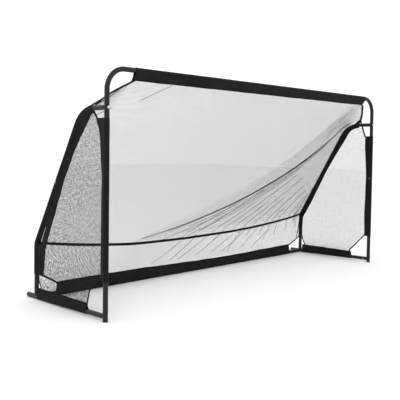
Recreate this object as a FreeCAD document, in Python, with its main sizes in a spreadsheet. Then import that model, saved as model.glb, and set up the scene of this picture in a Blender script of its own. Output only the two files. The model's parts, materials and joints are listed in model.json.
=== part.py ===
import FreeCAD, Part
import math
import os
import Sketcher

# A portable football goal: slip-together steel tubes locked by sprung snap buttons, dressed with
# fabric sleeves that carry a back net, two side nets and a webbing band.
# Frame: +X to the right seen from the pitch, +Y from the mouth to the back, +Z up. The origin is on the
# ground, in the middle of the whole goal's width and depth. Millimetres.

Vector = FreeCAD.Vector
X_AXIS = Vector(1, 0, 0)
Y_AXIS = Vector(0, 1, 0)
Z_AXIS = Vector(0, 0, 1)

doc = FreeCAD.newDocument("soccer_goal")

# ---------------------------------------------------------------- driving dimensions
SIZES = [
    ("goal_width", 3660, "outside width over the uprights"),
    ("goal_height", 1830, "outside height of the crossbar"),
    ("tube_diameter", 38, "outside diameter of every frame tube"),
    ("tube_wall", 1.5, "wall of every frame tube"),
    ("corner_radius", 155, "bend radius at the axis, upright to crossbar"),
    ("corner_reach", 300, "corner tube's length along the crossbar, from the upright's axis"),
    ("upright_joint_height", 900, "seam between lower upright and corner tube"),
    ("arm_height", 1530, "axis of the side arm above the ground"),
    ("shoulder_reach", 297, "front plane to the point where the arm's and slope's axes meet"),
    ("shoulder_radius", 240, "bend radius at the axis, arm to slope"),
    ("base_depth", 930, "front plane to the rear posts' axes"),
    ("knee_height", 457, "point where the slope's and post's axes meet"),
    ("knee_radius", 110, "bend radius at the axis, slope to post"),
    ("stanchion_joint_height", 1000, "seam between the stanchion's two tubes"),
    ("stub_length", 125, "ground tube's bare length behind the rear post's axis"),
    ("ground_tube_front", 38, "height of the ground tube's axis at the front plane"),
    ("ground_rear_lift", 0.6, "gap under the ground tube at its rear end"),
    ("joiner_length", 140, "length of an inner joiner"),
    ("joiner_wall", 1.5, "wall of joiners and spigots"),
    ("fit_gap", 0.1, "radial gap between a joiner and the tube over it"),
    ("spigot_length", 70, "how far a welded spigot enters its tube"),
    ("seam_gap", 1, "gap between a tube's end and the round tube it meets"),
    ("button_diameter", 8, "snap button"),
    ("button_clearance", 0.08, "radial gap round a snap button"),
    ("button_offset", 35, "seam to snap button, along the tube"),
    ("button_proud", 3, "how far a snap button stands out of its tube"),
    ("leaf_width", 8, "width of the spring clip's leaf"),
    ("leaf_thickness", 0.8, "thickness of the spring clip's leaf"),
    ("leaf_length", 20, "spring clip's leaf behind the button"),
    ("leaf_lead", 2, "spring clip's leaf ahead of the button"),
    ("leaf_gap", 0.7, "gap between the raised leaf and the bore over it"),
    ("leaf_end_gap", 0.5, "gap between the leaf's end and the clip's half ring"),
    ("clip_gap", 0.6, "gap between the fixed half of a clip and the bore round it"),
    ("clip_leg_lead", 8, "how far a clip's fixed leg runs past the button"),
    ("cap_flange", 4, "thickness of an end cap outside its tube"),
    ("cap_plug", 22, "length of an end cap inside its tube"),
    ("cap_edge", 2, "rounding of an end cap's edge"),
    ("cap_wall", 3, "wall of an end cap's plug"),
    ("cap_chamfer", 1, "chamfer at the end of an end cap's plug"),
    ("cap_seat_gap", 0.05, "gap between an end cap's flange and its tube"),
    ("bolt_diameter", 8, "arm bolt"),
    ("bolt_chamfer", 1, "chamfer at the arm bolt's tip"),
    ("bolt_tip_inset", 2, "threaded plug's inner end to the arm bolt's tip"),
    ("bolt_head_diameter", 18, "domed head of the arm bolt"),
    ("bolt_head_height", 5, "domed head of the arm bolt"),
    ("washer_diameter", 20, "washer under the arm bolt"),
    ("washer_thickness", 1.4, "washer under the arm bolt"),
    ("saddle_length", 8, "saddle between upright and arm, at its thinnest"),
    ("plug_length", 30, "threaded plug in the arm's end"),
    ("seat_gap", 0.2, "gap from the arm's end to its saddle and to its plug"),
    ("thread_gap", 0.05, "radial gap between the arm bolt and its plug"),
    ("sleeve_gap", 0.4, "gap between a fabric sleeve and its tube"),
    ("sleeve_wall", 1.5, "fabric of a sleeve"),
    ("flap_thickness", 2.4, "two layers of sleeve sewn together"),
    ("crossbar_sleeve_inset", 221, "upright's axis to the crossbar sleeve's end"),
    ("crossbar_flap_drop", 76, "crossbar's axis to the lower edge of its flap"),
    ("upright_sleeve_low", 290, "lower end of the upright sleeve"),
    ("upright_sleeve_drop", 73, "arm's axis to the upper end of the upright sleeve"),
    ("upright_flap_reach", 55, "front plane to the rear edge of the upright sleeve's flap"),
    ("upright_flap_top_reach", 112, "the same at the sleeve's upper end"),
    ("upright_flap_taper", 170, "height over which the flap narrows below its upper end"),
    ("ground_sleeve_front", 235, "front end of the side ground sleeve"),
    ("ground_sleeve_inset", 70, "side ground sleeve's rear end to the rear post's axis"),
    ("ground_flap_height", 96, "upper edge of the side ground sleeve's flap"),
    ("rear_sleeve_inset", 211, "rear post's axis to the rear ground sleeve's end"),
    ("rear_flap_height", 108, "upper edge of the rear ground sleeve's flap"),
    ("stanchion_sleeve_low", 210, "lower end of the stanchion sleeve"),
    ("stanchion_sleeve_lead", 5, "stanchion sleeve's end ahead of the shoulder bend"),
    ("stanchion_flap_width", 75, "stanchion axis to the front edge of its sleeve's flap"),
    ("stanchion_flap_arm_drop", 40, "arm's axis down to the flap's front corner"),
    ("stanchion_flap_slant", 20, "how far the flap's front end slants back"),
    ("side_net_lap", 20, "sleeve's end to the side net's cut front corner"),
    ("side_net_post_gap", 35, "rear post's axis to the side net's edge below the sleeve"),
    ("side_net_corner_run", 40, "side net's cut lower rear corner, along the ground"),
    ("side_net_corner_rise", 70, "side net's cut lower rear corner, along the post"),
    ("back_net_lap", 10, "how far the back net runs below the stanchion sleeve"),
    ("button_window", 16, "opening of a sleeve round a snap button"),
    ("net_thickness", 2, "thickness of a net panel"),
    ("net_gap", 1, "gap between a net panel and the sleeve it is sewn to"),
    ("band_width", 20, "webbing band between the knees"),
    ("band_thickness", 2, "webbing band between the knees"),
    ("band_lift", 9, "front of the back net to the front of the band"),
    ("band_sag", 100, "how much lower the band is in the middle than at the knees"),
]

sheet = doc.addObject("Spreadsheet::Sheet", "Sizes")
for row, (alias, value, note) in enumerate(SIZES, start=1):
    sheet.set(f"A{row}", alias)
    sheet.set(f"B{row}", str(value))
    sheet.set(f"C{row}", note)
    sheet.setAlias(f"B{row}", alias)
doc.recompute()


def val(expression):
    """The number that a sheet expression gives."""
    result = sheet.evalExpression(expression)
    return float(getattr(result, "Value", result))


CUT_MARGIN = 2        # how far a cutting tool runs past what it cuts
LEAST_CUT = 1         # cubic millimetres that every drilled hole takes away, at the least
NEARLY_ZERO = 1e-9


# ---------------------------------------------------------------- derived sizes, as sheet expressions
def size(alias):
    return f"Sizes.{alias}"


TUBE_R = f"({size('tube_diameter')} / 2)"
BORE_R = f"({TUBE_R} - {size('tube_wall')})"
JOINER_R = f"({BORE_R} - {size('fit_gap')})"
JOINER_BORE_R = f"({JOINER_R} - {size('joiner_wall')})"
HALF_WIDTH = f"({size('goal_width')} / 2 - {TUBE_R})"
BAR_HEIGHT = f"({size('goal_height')} - {TUBE_R})"
SLOPE_RUN = f"({size('base_depth')} - {size('shoulder_reach')})"
SLOPE_DROP = f"({size('arm_height')} - {size('knee_height')})"
SLOPE_LENGTH = f"sqrt({SLOPE_RUN}^2 + {SLOPE_DROP}^2)"
SLOPE_ANGLE = f"atan({SLOPE_RUN} / {SLOPE_DROP})"          # from the vertical
SHOULDER_TANGENT = f"({size('shoulder_radius')} * tan((90 deg - {SLOPE_ANGLE}) / 2))"
SLOPE_TOP = f"({size('arm_height')} - {SHOULDER_TANGENT} * cos({SLOPE_ANGLE}))"
WASHER_SEAT = f"({TUBE_R} + {size('fit_gap')})"
BOLT_HEAD_REACH = f"({WASHER_SEAT} + {size('washer_thickness')} + {size('bolt_head_height')})"
REAR_END = f"({size('base_depth')} + {size('stub_length')} + {size('cap_flange')})"
FRONT_PLANE = f"(({BOLT_HEAD_REACH} - {REAR_END}) / 2)"    # centres the whole goal on Y
GROUND_FRONT = f"({TUBE_R} + {size('seam_gap')})"           # ground tube's front end, behind the front plane
GROUND_RUN = f"({size('base_depth')} + {size('stub_length')})"
GROUND_REAR = f"({TUBE_R} + {size('ground_rear_lift')})"    # height of the ground tube's axis at its rear end
GROUND_FALL = f"(({size('ground_tube_front')} - {GROUND_REAR}) / {GROUND_RUN})"
POST_FOOT = f"({size('ground_tube_front')} - {GROUND_FALL} * {size('base_depth')})"  # axis height there
POST_LOW = f"({POST_FOOT} + {TUBE_R} + {size('seam_gap')})"
ARM_FRONT = f"({TUBE_R} + {size('saddle_length')})"
SLEEVE_BORE_R = f"({TUBE_R} + {size('sleeve_gap')})"
SLEEVE_R = f"({SLEEVE_BORE_R} + {size('sleeve_wall')})"
HOLE_R = f"({size('button_diameter')} / 2 + {size('button_clearance')})"
WINDOW_R = f"({size('button_window')} / 2)"
BOLT_HOLE_R = f"({size('bolt_diameter')} / 2 + {size('fit_gap')})"
BUTTON_TOP = f"({TUBE_R} + {size('button_proud')})"
LEAF_TOP = f"({JOINER_BORE_R} - {size('leaf_gap')})"
CLIP_R = f"({JOINER_BORE_R} - {size('clip_gap')})"
HOLE_REACH = f"({TUBE_R} + {CUT_MARGIN})"
CROSSBAR_SLEEVE_END = f"({HALF_WIDTH} - {size('crossbar_sleeve_inset')})"
REAR_SLEEVE_END = f"({HALF_WIDTH} - {size('rear_sleeve_inset')})"
CROSSBAR_FLAP_LOW = f"({BAR_HEIGHT} - {size('crossbar_flap_drop')})"
UPRIGHT_SLEEVE_HIGH = f"({size('arm_height')} - {size('upright_sleeve_drop')})"
GROUND_SLEEVE_REAR = f"({size('base_depth')} - {size('ground_sleeve_inset')})"
STANCHION_SLEEVE_FRONT = f"({size('shoulder_reach')} - {SHOULDER_TANGENT} - {size('stanchion_sleeve_lead')})"
STANCHION_FLAP_FRONT = f"({STANCHION_SLEEVE_FRONT} + {size('stanchion_flap_slant')})"
NET_HALF = f"({HALF_WIDTH} - {SLEEVE_R} - {size('net_gap')})"

slope = math.radians(val(SLOPE_ANGLE))
slope_down = Vector(0, math.sin(slope), -math.cos(slope))
ground_angle = math.atan(val(GROUND_FALL))
ground_back = Vector(0, math.cos(ground_angle), -math.sin(ground_angle))


def on_slope(height):
    """Distance behind the front plane of the slope's axis at a height, as an expression."""
    return f"({size('shoulder_reach')} + ({size('arm_height')} - {height}) * {SLOPE_RUN} / {SLOPE_DROP})"


# ---------------------------------------------------------------- helpers
def bind(obj, **expressions):
    for name, text in expressions.items():
        obj.setExpression(name.replace("__", "."), text)


def place(obj, base, along, side):
    """Put obj's own Z along `along` and its own X along `side`, with its origin at `base`.

    base holds expressions, measured from the front plane at ground level.
    """
    turn = FreeCAD.Rotation(side, along.cross(side), along, "ZXY")
    obj.Placement = FreeCAD.Placement(Vector(0, 0, 0), turn)
    bind(obj, Placement__Base__x=base[0], Placement__Base__y=f"{FRONT_PLANE} + {base[1]}",
         Placement__Base__z=base[2])


def shifted(base, direction, distance):
    """The point `distance` (an expression) from base along a unit vector."""
    return [f"({start} + {step!r} * ({distance}))" for start, step in zip(base, direction)]


def new_body(label):
    body = doc.addObject("PartDesign::Body", label)
    body.Label = label
    return body


def new_sketch(body, name, role):
    plane = next(item for item in body.Origin.OriginFeatures if item.Role == role)
    sketch = body.newObject("Sketcher::SketchObject", name)
    sketch.AttachmentSupport = [(plane, "")]
    sketch.MapMode = "FlatFace"
    return sketch


def constrain(sketch, kind, *refs, to):
    """Add one driving constraint and tie it to a sheet expression."""
    index = sketch.addConstraint(Sketcher.Constraint(kind, *refs, val(to)))
    sketch.setExpression(f"Constraints[{index}]", to)


def add_circle(sketch, radius, centre=None):
    across, up = centre or ("0", "0")
    item = sketch.addGeometry(Part.Circle(Vector(val(across), val(up), 0), Z_AXIS, val(radius)), False)
    if centre is None:
        sketch.addConstraint(Sketcher.Constraint("Coincident", item, 3, -1, 1))
    else:
        if across == "0":
            sketch.addConstraint(Sketcher.Constraint("PointOnObject", item, 3, -2))
        else:
            constrain(sketch, "DistanceX", -1, 1, item, 3, to=across)
        constrain(sketch, "DistanceY", -1, 1, item, 3, to=up)
    constrain(sketch, "Radius", item, to=radius)


def outline_arc(start, end, radius, middle):
    """The arc of a radius between two corners that bulges away from the outline's middle."""
    chord = end - start
    halfway = (start + end) / 2
    outwards = Vector(chord.y, -chord.x, 0).normalize()
    if outwards.dot(halfway - middle) < 0:
        outwards = -outwards
    bulge = radius - math.sqrt(radius ** 2 - (chord.Length / 2) ** 2)
    return Part.Arc(start, halfway + outwards * bulge, end)


def add_outline(sketch, corners, arcs=()):
    """A closed outline through corners given as pairs of expressions.

    arcs holds (corner, radius) pairs: the side from that corner to the next is an arc of that radius.
    """
    points = [Vector(val(across), val(up), 0) for across, up in corners]
    count = len(points)
    middle = sum(points, Vector()) / count
    radii = dict(arcs)
    starts, ends = [], []
    for index in range(count):
        start, end = points[index], points[(index + 1) % count]
        if index in radii:
            side = outline_arc(start, end, val(radii[index]), middle)
        else:
            side = Part.LineSegment(start, end)
        sketch.addGeometry(side, False)
        forwards = sketch.getPoint(index, 1).isEqual(start, NEARLY_ZERO)
        starts.append(1 if forwards else 2)
        ends.append(2 if forwards else 1)
    for index in range(count):
        following = (index + 1) % count
        joint = Sketcher.Constraint("Coincident", index, ends[index], following, starts[following])
        sketch.addConstraint(joint)
    for index, (across, up) in enumerate(corners):
        for kind, axis, text in (("DistanceX", -2, across), ("DistanceY", -1, up)):
            if abs(val(text)) < NEARLY_ZERO:
                sketch.addConstraint(Sketcher.Constraint("PointOnObject", index, starts[index], axis))
            else:
                constrain(sketch, kind, -1, 1, index, starts[index], to=text)
    for index, radius in radii.items():
        constrain(sketch, "Radius", index, to=radius)


def dome_radius(reach, height):
    """Radius of the round cap that covers a circle of radius `reach` and is `height` high."""
    return f"(({reach})^2 + ({height})^2) / (2 * ({height}))"


def pad(body, sketch, length, both_ways=False):
    feature = body.newObject("PartDesign::Pad", "Pad")
    feature.Profile = sketch
    if both_ways:
        feature.SideType = "Symmetric"
    bind(feature, Length=length)
    return feature


def revolve(body, sketch):
    feature = body.newObject("PartDesign::Revolution", "Revolution")
    feature.Profile = sketch
    feature.ReferenceAxis = (sketch, ["V_Axis"])
    feature.Angle = 360
    return feature


def drill(body, role, centre, radius, depth, backwards):
    """A round hole from one of the body's origin planes out through one wall."""
    doc.recompute()
    before = body.Shape.Volume
    sketch = new_sketch(body, "HoleSketch", role)
    add_circle(sketch, radius, centre)
    pocket = body.newObject("PartDesign::Pocket", "Hole")
    pocket.Profile = sketch
    pocket.Reversed = backwards
    bind(pocket, Length=depth)
    doc.recompute()
    if body.Shape.Volume >= before - LEAST_CUT:
        raise RuntimeError(f"{body.Label}: a hole cuts nothing")


def straight_tube(label, length, outer=TUBE_R, inner=BORE_R):
    """A tube along the body's Z, from its origin."""
    body = new_body(label)
    profile = new_sketch(body, "Profile", "XY_Plane")
    add_circle(profile, outer)
    if inner is not None:
        add_circle(profile, inner)
    pad(body, profile, length)
    return body


def bent_tube(label, first, angle, radius, second, outer=TUBE_R, inner=BORE_R):
    """A tube that starts along the body's Z and bends once towards its X.

    first and second are the lengths from each end to the point where the two axes meet.
    """
    body = new_body(label)
    tangent = f"{radius} * tan({angle} / 2)"
    run_one, run_two = val(f"{first} - {tangent}"), val(f"{second} - {tangent}")
    turn, bend = math.radians(val(angle)), val(radius)
    start_arc = Vector(0, run_one, 0)
    end_arc = Vector(bend * (1 - math.cos(turn)), run_one + bend * math.sin(turn), 0)
    mid_arc = Vector(bend * (1 - math.cos(turn / 2)), run_one + bend * math.sin(turn / 2), 0)
    end = end_arc + Vector(math.sin(turn), math.cos(turn), 0) * run_two
    spine = new_sketch(body, "Spine", "XZ_Plane")
    spine.addGeometry(Part.LineSegment(Vector(0, 0, 0), start_arc), False)
    spine.addGeometry(Part.Arc(start_arc, mid_arc, end_arc), False)
    spine.addGeometry(Part.LineSegment(end_arc, end), False)
    arc_start, arc_end = (2, 1) if spine.getPoint(1, 1).y > spine.getPoint(1, 2).y else (1, 2)
    spine.addConstraint(Sketcher.Constraint("Coincident", 0, 1, -1, 1))
    spine.addConstraint(Sketcher.Constraint("Vertical", 0))
    spine.addConstraint(Sketcher.Constraint("Tangent", 0, 2, 1, arc_start))
    spine.addConstraint(Sketcher.Constraint("Tangent", 1, arc_end, 2, 1))
    constrain(spine, "Distance", 0, to=f"{first} - {tangent}")
    constrain(spine, "Radius", 1, to=radius)
    constrain(spine, "Distance", 2, to=f"{second} - {tangent}")
    lean = spine.addConstraint(Sketcher.Constraint("Angle", 2, math.pi / 2 - turn))
    spine.setExpression(f"Constraints[{lean}]", f"90 deg - {angle}")
    profile = new_sketch(body, "Profile", "XY_Plane")
    add_circle(profile, outer)
    if inner is not None:
        add_circle(profile, inner)
    pipe = body.newObject("PartDesign::AdditivePipe", "Pipe")
    pipe.Profile = profile
    pipe.Spine = (spine, ["Edge1", "Edge2", "Edge3"])
    return body


def cylinder(name, radius, length, base, along, side=None):
    item = doc.addObject("Part::Cylinder", name)
    bind(item, Radius=radius, Height=length)
    place(item, base, along, side or (X_AXIS if abs(along.x) < 0.5 else Y_AXIS))
    return item


def box(name, low, high):
    """A box between two corners given as expressions, measured from the front plane at ground level."""
    item = doc.addObject("Part::Box", name)
    spans = [f"{top} - {bottom}" for bottom, top in zip(low, high)]
    bind(item, Length=spans[0], Width=spans[1], Height=spans[2])
    place(item, low, Z_AXIS, X_AXIS)
    return item


def fused(name, items):
    item = doc.addObject("Part::MultiFuse", name)
    item.Shapes = items
    return item


def cut_all(label, base, tools):
    """base less every tool, one Part::Cut after another, the last one carrying the label."""
    result = base
    for index, tool in enumerate(tools):
        cut = doc.addObject("Part::Cut", f"{label}_cut{index}")
        cut.Base = result
        cut.Tool = tool
        result = cut
    result.Label = label
    return result


def polygon_plate(label, corners, thickness, x_middle):
    """A flat plate in a plane across X; corners are (distance behind the front plane, height) pairs."""
    body = new_body(label)
    outline = new_sketch(body, "Outline", "XZ_Plane")
    add_outline(outline, corners)
    pad(body, outline, thickness, both_ways=True)
    place(body, (x_middle, "0", "0"), Z_AXIS, Y_AXIS)
    return body


parts = {}
sides = (("left", -1), ("right", 1))


def keep(obj):
    parts[obj.Label] = obj
    return obj


# ---------------------------------------------------------------- slip joints
# Each has the seam between two tubes, the direction from the seam to the tube that the button locks,
# and the direction in which the button looks.
def slip_joints():
    corner_seam = f"({HALF_WIDTH} - {size('corner_reach')})"
    rear_seam = f"({HALF_WIDTH} - {TUBE_R} - {size('seam_gap')})"
    joints = {
        "crossbar_middle": (("0", "0", BAR_HEIGHT), X_AXIS, Y_AXIS),
        "rear_middle": (("0", size("base_depth"), POST_FOOT), X_AXIS, Y_AXIS),
    }
    for name, sign in sides:
        out = X_AXIS * sign
        axis = f"{sign} * {HALF_WIDTH}"
        seam_height = size("stanchion_joint_height")
        joints[f"crossbar_{name}"] = ((f"{sign} * {corner_seam}", "0", BAR_HEIGHT), out, Y_AXIS)
        joints[f"upright_{name}"] = ((axis, "0", size("upright_joint_height")), Z_AXIS, -out)
        joints[f"stanchion_{name}"] = ((axis, on_slope(seam_height), seam_height), slope_down, out)
        joints[f"post_{name}"] = ((axis, size("base_depth"), POST_LOW), Z_AXIS, out)
        joints[f"rear_{name}"] = ((f"{sign} * {rear_seam}", size("base_depth"), POST_FOOT), -out, Y_AXIS)
        front_height = f"{size('ground_tube_front')} - {GROUND_FALL} * {GROUND_FRONT}"
        joints[f"front_{name}"] = ((axis, GROUND_FRONT, f"({front_height})"), ground_back, -out)
    return joints


SLIPS = slip_joints()
JOINED_BY_SPIGOT = ("post", "rear", "front")


def button_axis(name):
    """A snap button's point on its tube's axis."""
    seam, along, _ = SLIPS[name]
    return shifted(seam, along, size("button_offset"))


def button_tool(name, radius):
    """A cylinder along a snap button's axis, from the tube's axis outwards."""
    _, along, look = SLIPS[name]
    reach = f"({SLEEVE_R} + {CUT_MARGIN})"
    return cylinder(f"window_{name}", radius, reach, button_axis(name), look, along)


def make_joiner(name):
    seam, along, look = SLIPS[name]
    half = f"{size('joiner_length')} / 2"
    body = straight_tube(f"joiner_{name}", size("joiner_length"), JOINER_R, JOINER_BORE_R)
    drill(body, "YZ_Plane", ("0", f"{half} + {size('button_offset')}"), HOLE_R, HOLE_REACH, True)
    place(body, shifted(seam, along, f"-{half}"), along, look)
    return body


def make_button(name):
    """Domed button and the leaf it is riveted to; own Z looks out of the tube, own X runs along it."""
    _, along, look = SLIPS[name]
    body = new_body(f"button_{name}")
    radius = f"{size('button_diameter')} / 2"
    dome = f"{radius} / 2"
    outline = new_sketch(body, "Side", "XZ_Plane")
    corners = [("0", LEAF_TOP), (radius, LEAF_TOP), (radius, f"{BUTTON_TOP} - {dome}"), ("0", BUTTON_TOP)]
    add_outline(outline, corners, arcs=[(2, dome_radius(radius, dome))])
    revolve(body, outline)
    leaf = new_sketch(body, "Leaf", "XZ_Plane")
    low = f"{LEAF_TOP} - {size('leaf_thickness')}"
    leaf_end = f"{size('leaf_end_gap')} - {size('leaf_length')}"
    leaf_tip = f"{radius} + {size('leaf_lead')}"
    add_outline(leaf, [(leaf_end, low), (leaf_tip, low), (leaf_tip, LEAF_TOP), (leaf_end, LEAF_TOP)])
    pad(body, leaf, size("leaf_width"), both_ways=True)
    place(body, button_axis(name), look, -along)
    return body


def make_clip(name):
    """The fixed half of a spring clip: a half ring across the bore and a leg on the far wall."""
    _, along, look = SLIPS[name]
    inner = f"({CLIP_R} - {size('leaf_thickness')})"
    across = look.cross(along)
    width = size("leaf_width")
    middle = shifted(button_axis(name), along, size("leaf_length"))
    edge = shifted(middle, across, f"-{width} / 2")
    ring = cylinder(f"clip_ring_{name}", CLIP_R, width, edge, across, look)
    hollow = cylinder(f"clip_hollow_{name}", inner, width, edge, across, look)
    ring.Angle = 180
    leg = doc.addObject("Part::Box", f"clip_leg_{name}")
    bind(leg, Length=size("leaf_thickness"), Width=width,
         Height=f"{size('leaf_length')} + {size('clip_leg_lead')}")
    place(leg, shifted(edge, look, f"-{CLIP_R}"), -along, look)
    return cut_all(f"clip_{name}", fused(f"clip_all_{name}", [ring, leg]), [hollow])


# ---------------------------------------------------------------- frame tubes
def make_corner_tube(name, sign):
    """Upper upright, corner bend and the crossbar's first stretch."""
    body = bent_tube(f"corner_tube_{name}", f"({BAR_HEIGHT} - {size('upright_joint_height')})", "90 deg",
                     size("corner_radius"), size("corner_reach"))
    drill(body, "YZ_Plane", ("0", size("button_offset")), HOLE_R, HOLE_REACH, True)
    bar_hole = (f"{size('corner_reach')} - {size('button_offset')}",
                f"{BAR_HEIGHT} - {size('upright_joint_height')}")
    drill(body, "XZ_Plane", bar_hole, HOLE_R, HOLE_REACH, sign > 0)
    arm_hole = ("0", f"{size('arm_height')} - {size('upright_joint_height')}")
    for backwards in (False, True):
        drill(body, "XZ_Plane", arm_hole, BOLT_HOLE_R, HOLE_REACH, backwards)
    place(body, (f"{sign} * {HALF_WIDTH}", "0", size("upright_joint_height")), Z_AXIS, X_AXIS * -sign)
    return body


def make_lower_upright(name, sign):
    """Straight tube with a welded spigot for the ground tube."""
    axis = f"{sign} * {HALF_WIDTH}"
    low = size("cap_flange")
    height = f"({size('upright_joint_height')} - {low})"
    seam, along, look = SLIPS[f"front_{name}"]
    root = shifted(seam, along, f"-{GROUND_FRONT}")
    spigot_out = f"({GROUND_FRONT} + {size('spigot_length')})"
    outer = cylinder(f"upright_{name}", TUBE_R, height, (axis, "0", low), Z_AXIS)
    spigot = cylinder(f"front_spigot_{name}", JOINER_R, spigot_out, root, along)
    bore = cylinder(f"upright_bore_{name}", BORE_R, height, (axis, "0", low), Z_AXIS)
    spigot_base = shifted(seam, along, f"-{size('seam_gap')}")
    spigot_bore = cylinder(f"front_spigot_bore_{name}", JOINER_BORE_R,
                           f"{size('spigot_length')} + {CUT_MARGIN}", spigot_base, along)
    hole = cylinder(f"front_spigot_hole_{name}", HOLE_R, HOLE_REACH, button_axis(f"front_{name}"), look)
    return cut_all(f"lower_upright_{name}", fused(f"upright_all_{name}", [outer, spigot]),
                   [bore, spigot_bore, hole])


def make_crossbar_tube(name, sign):
    length = f"({HALF_WIDTH} - {size('corner_reach')})"
    body = straight_tube(f"crossbar_tube_{name}", length)
    if sign > 0:
        drill(body, "YZ_Plane", ("0", size("button_offset")), HOLE_R, HOLE_REACH, True)
    place(body, ("0", "0", BAR_HEIGHT), X_AXIS * sign, Y_AXIS)
    return body


def make_rear_tube(name, sign):
    length = f"({HALF_WIDTH} - {TUBE_R} - {size('seam_gap')})"
    body = straight_tube(f"rear_ground_tube_{name}", length)
    drill(body, "YZ_Plane", ("0", f"{length} - {size('button_offset')}"), HOLE_R, HOLE_REACH, True)
    if sign > 0:
        drill(body, "YZ_Plane", ("0", size("button_offset")), HOLE_R, HOLE_REACH, True)
    place(body, ("0", size("base_depth"), POST_FOOT), X_AXIS * sign, Y_AXIS)
    return body


def make_stanchion_upper(name, sign):
    """Side arm, shoulder bend and the upper half of the slope."""
    seam_height = size("stanchion_joint_height")
    slope_part = f"({size('arm_height')} - {seam_height}) * {SLOPE_LENGTH} / {SLOPE_DROP}"
    body = bent_tube(f"stanchion_upper_{name}", f"({size('shoulder_reach')} - {ARM_FRONT})",
                     f"(90 deg - {SLOPE_ANGLE})", size("shoulder_radius"), f"({slope_part})")
    place(body, (f"{sign} * {HALF_WIDTH}", ARM_FRONT, size("arm_height")), Y_AXIS, -Z_AXIS)
    return body


def make_stanchion_lower(name, sign):
    """Lower half of the slope, knee bend and the rear post."""
    slope_height = f"({size('stanchion_joint_height')} - {size('knee_height')})"
    slope_part = f"{slope_height} * {SLOPE_LENGTH} / {SLOPE_DROP}"
    first = f"({size('knee_height')} - {POST_LOW})"
    body = bent_tube(f"stanchion_lower_{name}", first, SLOPE_ANGLE, size("knee_radius"), f"({slope_part})")
    drill(body, "XZ_Plane", ("0", size("button_offset")), HOLE_R, HOLE_REACH, sign < 0)
    along = f"({slope_part} - {size('button_offset')})"
    upper_hole = (f"{along} * sin({SLOPE_ANGLE})", f"{first} + {along} * cos({SLOPE_ANGLE})")
    drill(body, "XZ_Plane", upper_hole, HOLE_R, HOLE_REACH, sign < 0)
    place(body, (f"{sign} * {HALF_WIDTH}", size("base_depth"), POST_LOW), Z_AXIS, -Y_AXIS)
    return body


def make_side_ground_tube(name, sign):
    """Ground tube that falls gently to the rear, with welded spigots for the post and the rear tube."""
    seam, along, look = SLIPS[f"front_{name}"]
    length = f"({GROUND_RUN} - {GROUND_FRONT}) * {1 / math.cos(ground_angle)!r}"
    outer = cylinder(f"ground_{name}", TUBE_R, length, seam, along)
    bore = cylinder(f"ground_bore_{name}", BORE_R, length, seam, along)
    solids, tools = [outer], [bore]
    foot = (f"{sign} * {HALF_WIDTH}", size("base_depth"), POST_FOOT)
    for joint in (f"post_{name}", f"rear_{name}"):
        start, outwards, button_look = SLIPS[joint]
        reach = f"({TUBE_R} + {size('seam_gap')} + {size('spigot_length')})"
        solids.append(cylinder(f"spigot_{joint}", JOINER_R, reach, foot, outwards))
        tools.append(cylinder(f"spigot_bore_{joint}", JOINER_BORE_R,
                              f"{size('spigot_length')} + {CUT_MARGIN}", start, outwards))
        tools.append(cylinder(f"spigot_hole_{joint}", HOLE_R, HOLE_REACH, button_axis(joint), button_look))
    tools.append(cylinder(f"ground_hole_{name}", HOLE_R, HOLE_REACH, button_axis(f"front_{name}"), look))
    return cut_all(f"side_ground_tube_{name}", fused(f"ground_all_{name}", solids), tools)


def make_cap(label, base, along):
    """Moulded end cap: a plug inside the tube and a rounded flange outside it."""
    body = new_body(label)
    outline = new_sketch(body, "Side", "XZ_Plane")
    edge = size("cap_edge")
    flange = size("cap_flange")
    plug = f"{BORE_R} - {size('fit_gap')}"
    plug_top = f"{flange} + {size('cap_plug')}"
    chamfer = size("cap_chamfer")
    seat = f"{flange} - {size('cap_seat_gap')}"
    hollow = f"{plug} - {size('cap_wall')}"
    add_outline(outline, [
        ("0", "0"), (f"{TUBE_R} - {edge}", "0"), (TUBE_R, edge), (TUBE_R, seat), (plug, seat),
        (plug, f"{plug_top} - {chamfer}"), (f"{plug} - {chamfer}", plug_top), (hollow, plug_top),
        (hollow, flange), ("0", flange)], arcs=[(1, edge)])
    revolve(body, outline)
    place(body, base, along, X_AXIS)
    return body


def make_saddle(name, sign):
    """Moulded saddle that seats the arm's flat end on the round upright."""
    axis = f"{sign} * {HALF_WIDTH}"
    start = f"{TUBE_R} / 2"
    height = size("arm_height")
    block = cylinder(f"saddle_{name}", TUBE_R, f"{ARM_FRONT} - {start} - {size('seat_gap')}",
                     (axis, start, height), Y_AXIS)
    upright = cylinder(f"saddle_seat_{name}", WASHER_SEAT, f"2 * {HOLE_REACH}",
                       (axis, "0", f"{height} - {HOLE_REACH}"), Z_AXIS)
    hole = cylinder(f"saddle_hole_{name}", BOLT_HOLE_R, f"{ARM_FRONT} + {CUT_MARGIN}", (axis, "0", height),
                    Y_AXIS)
    return cut_all(f"arm_saddle_{name}", block, [upright, hole])


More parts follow.
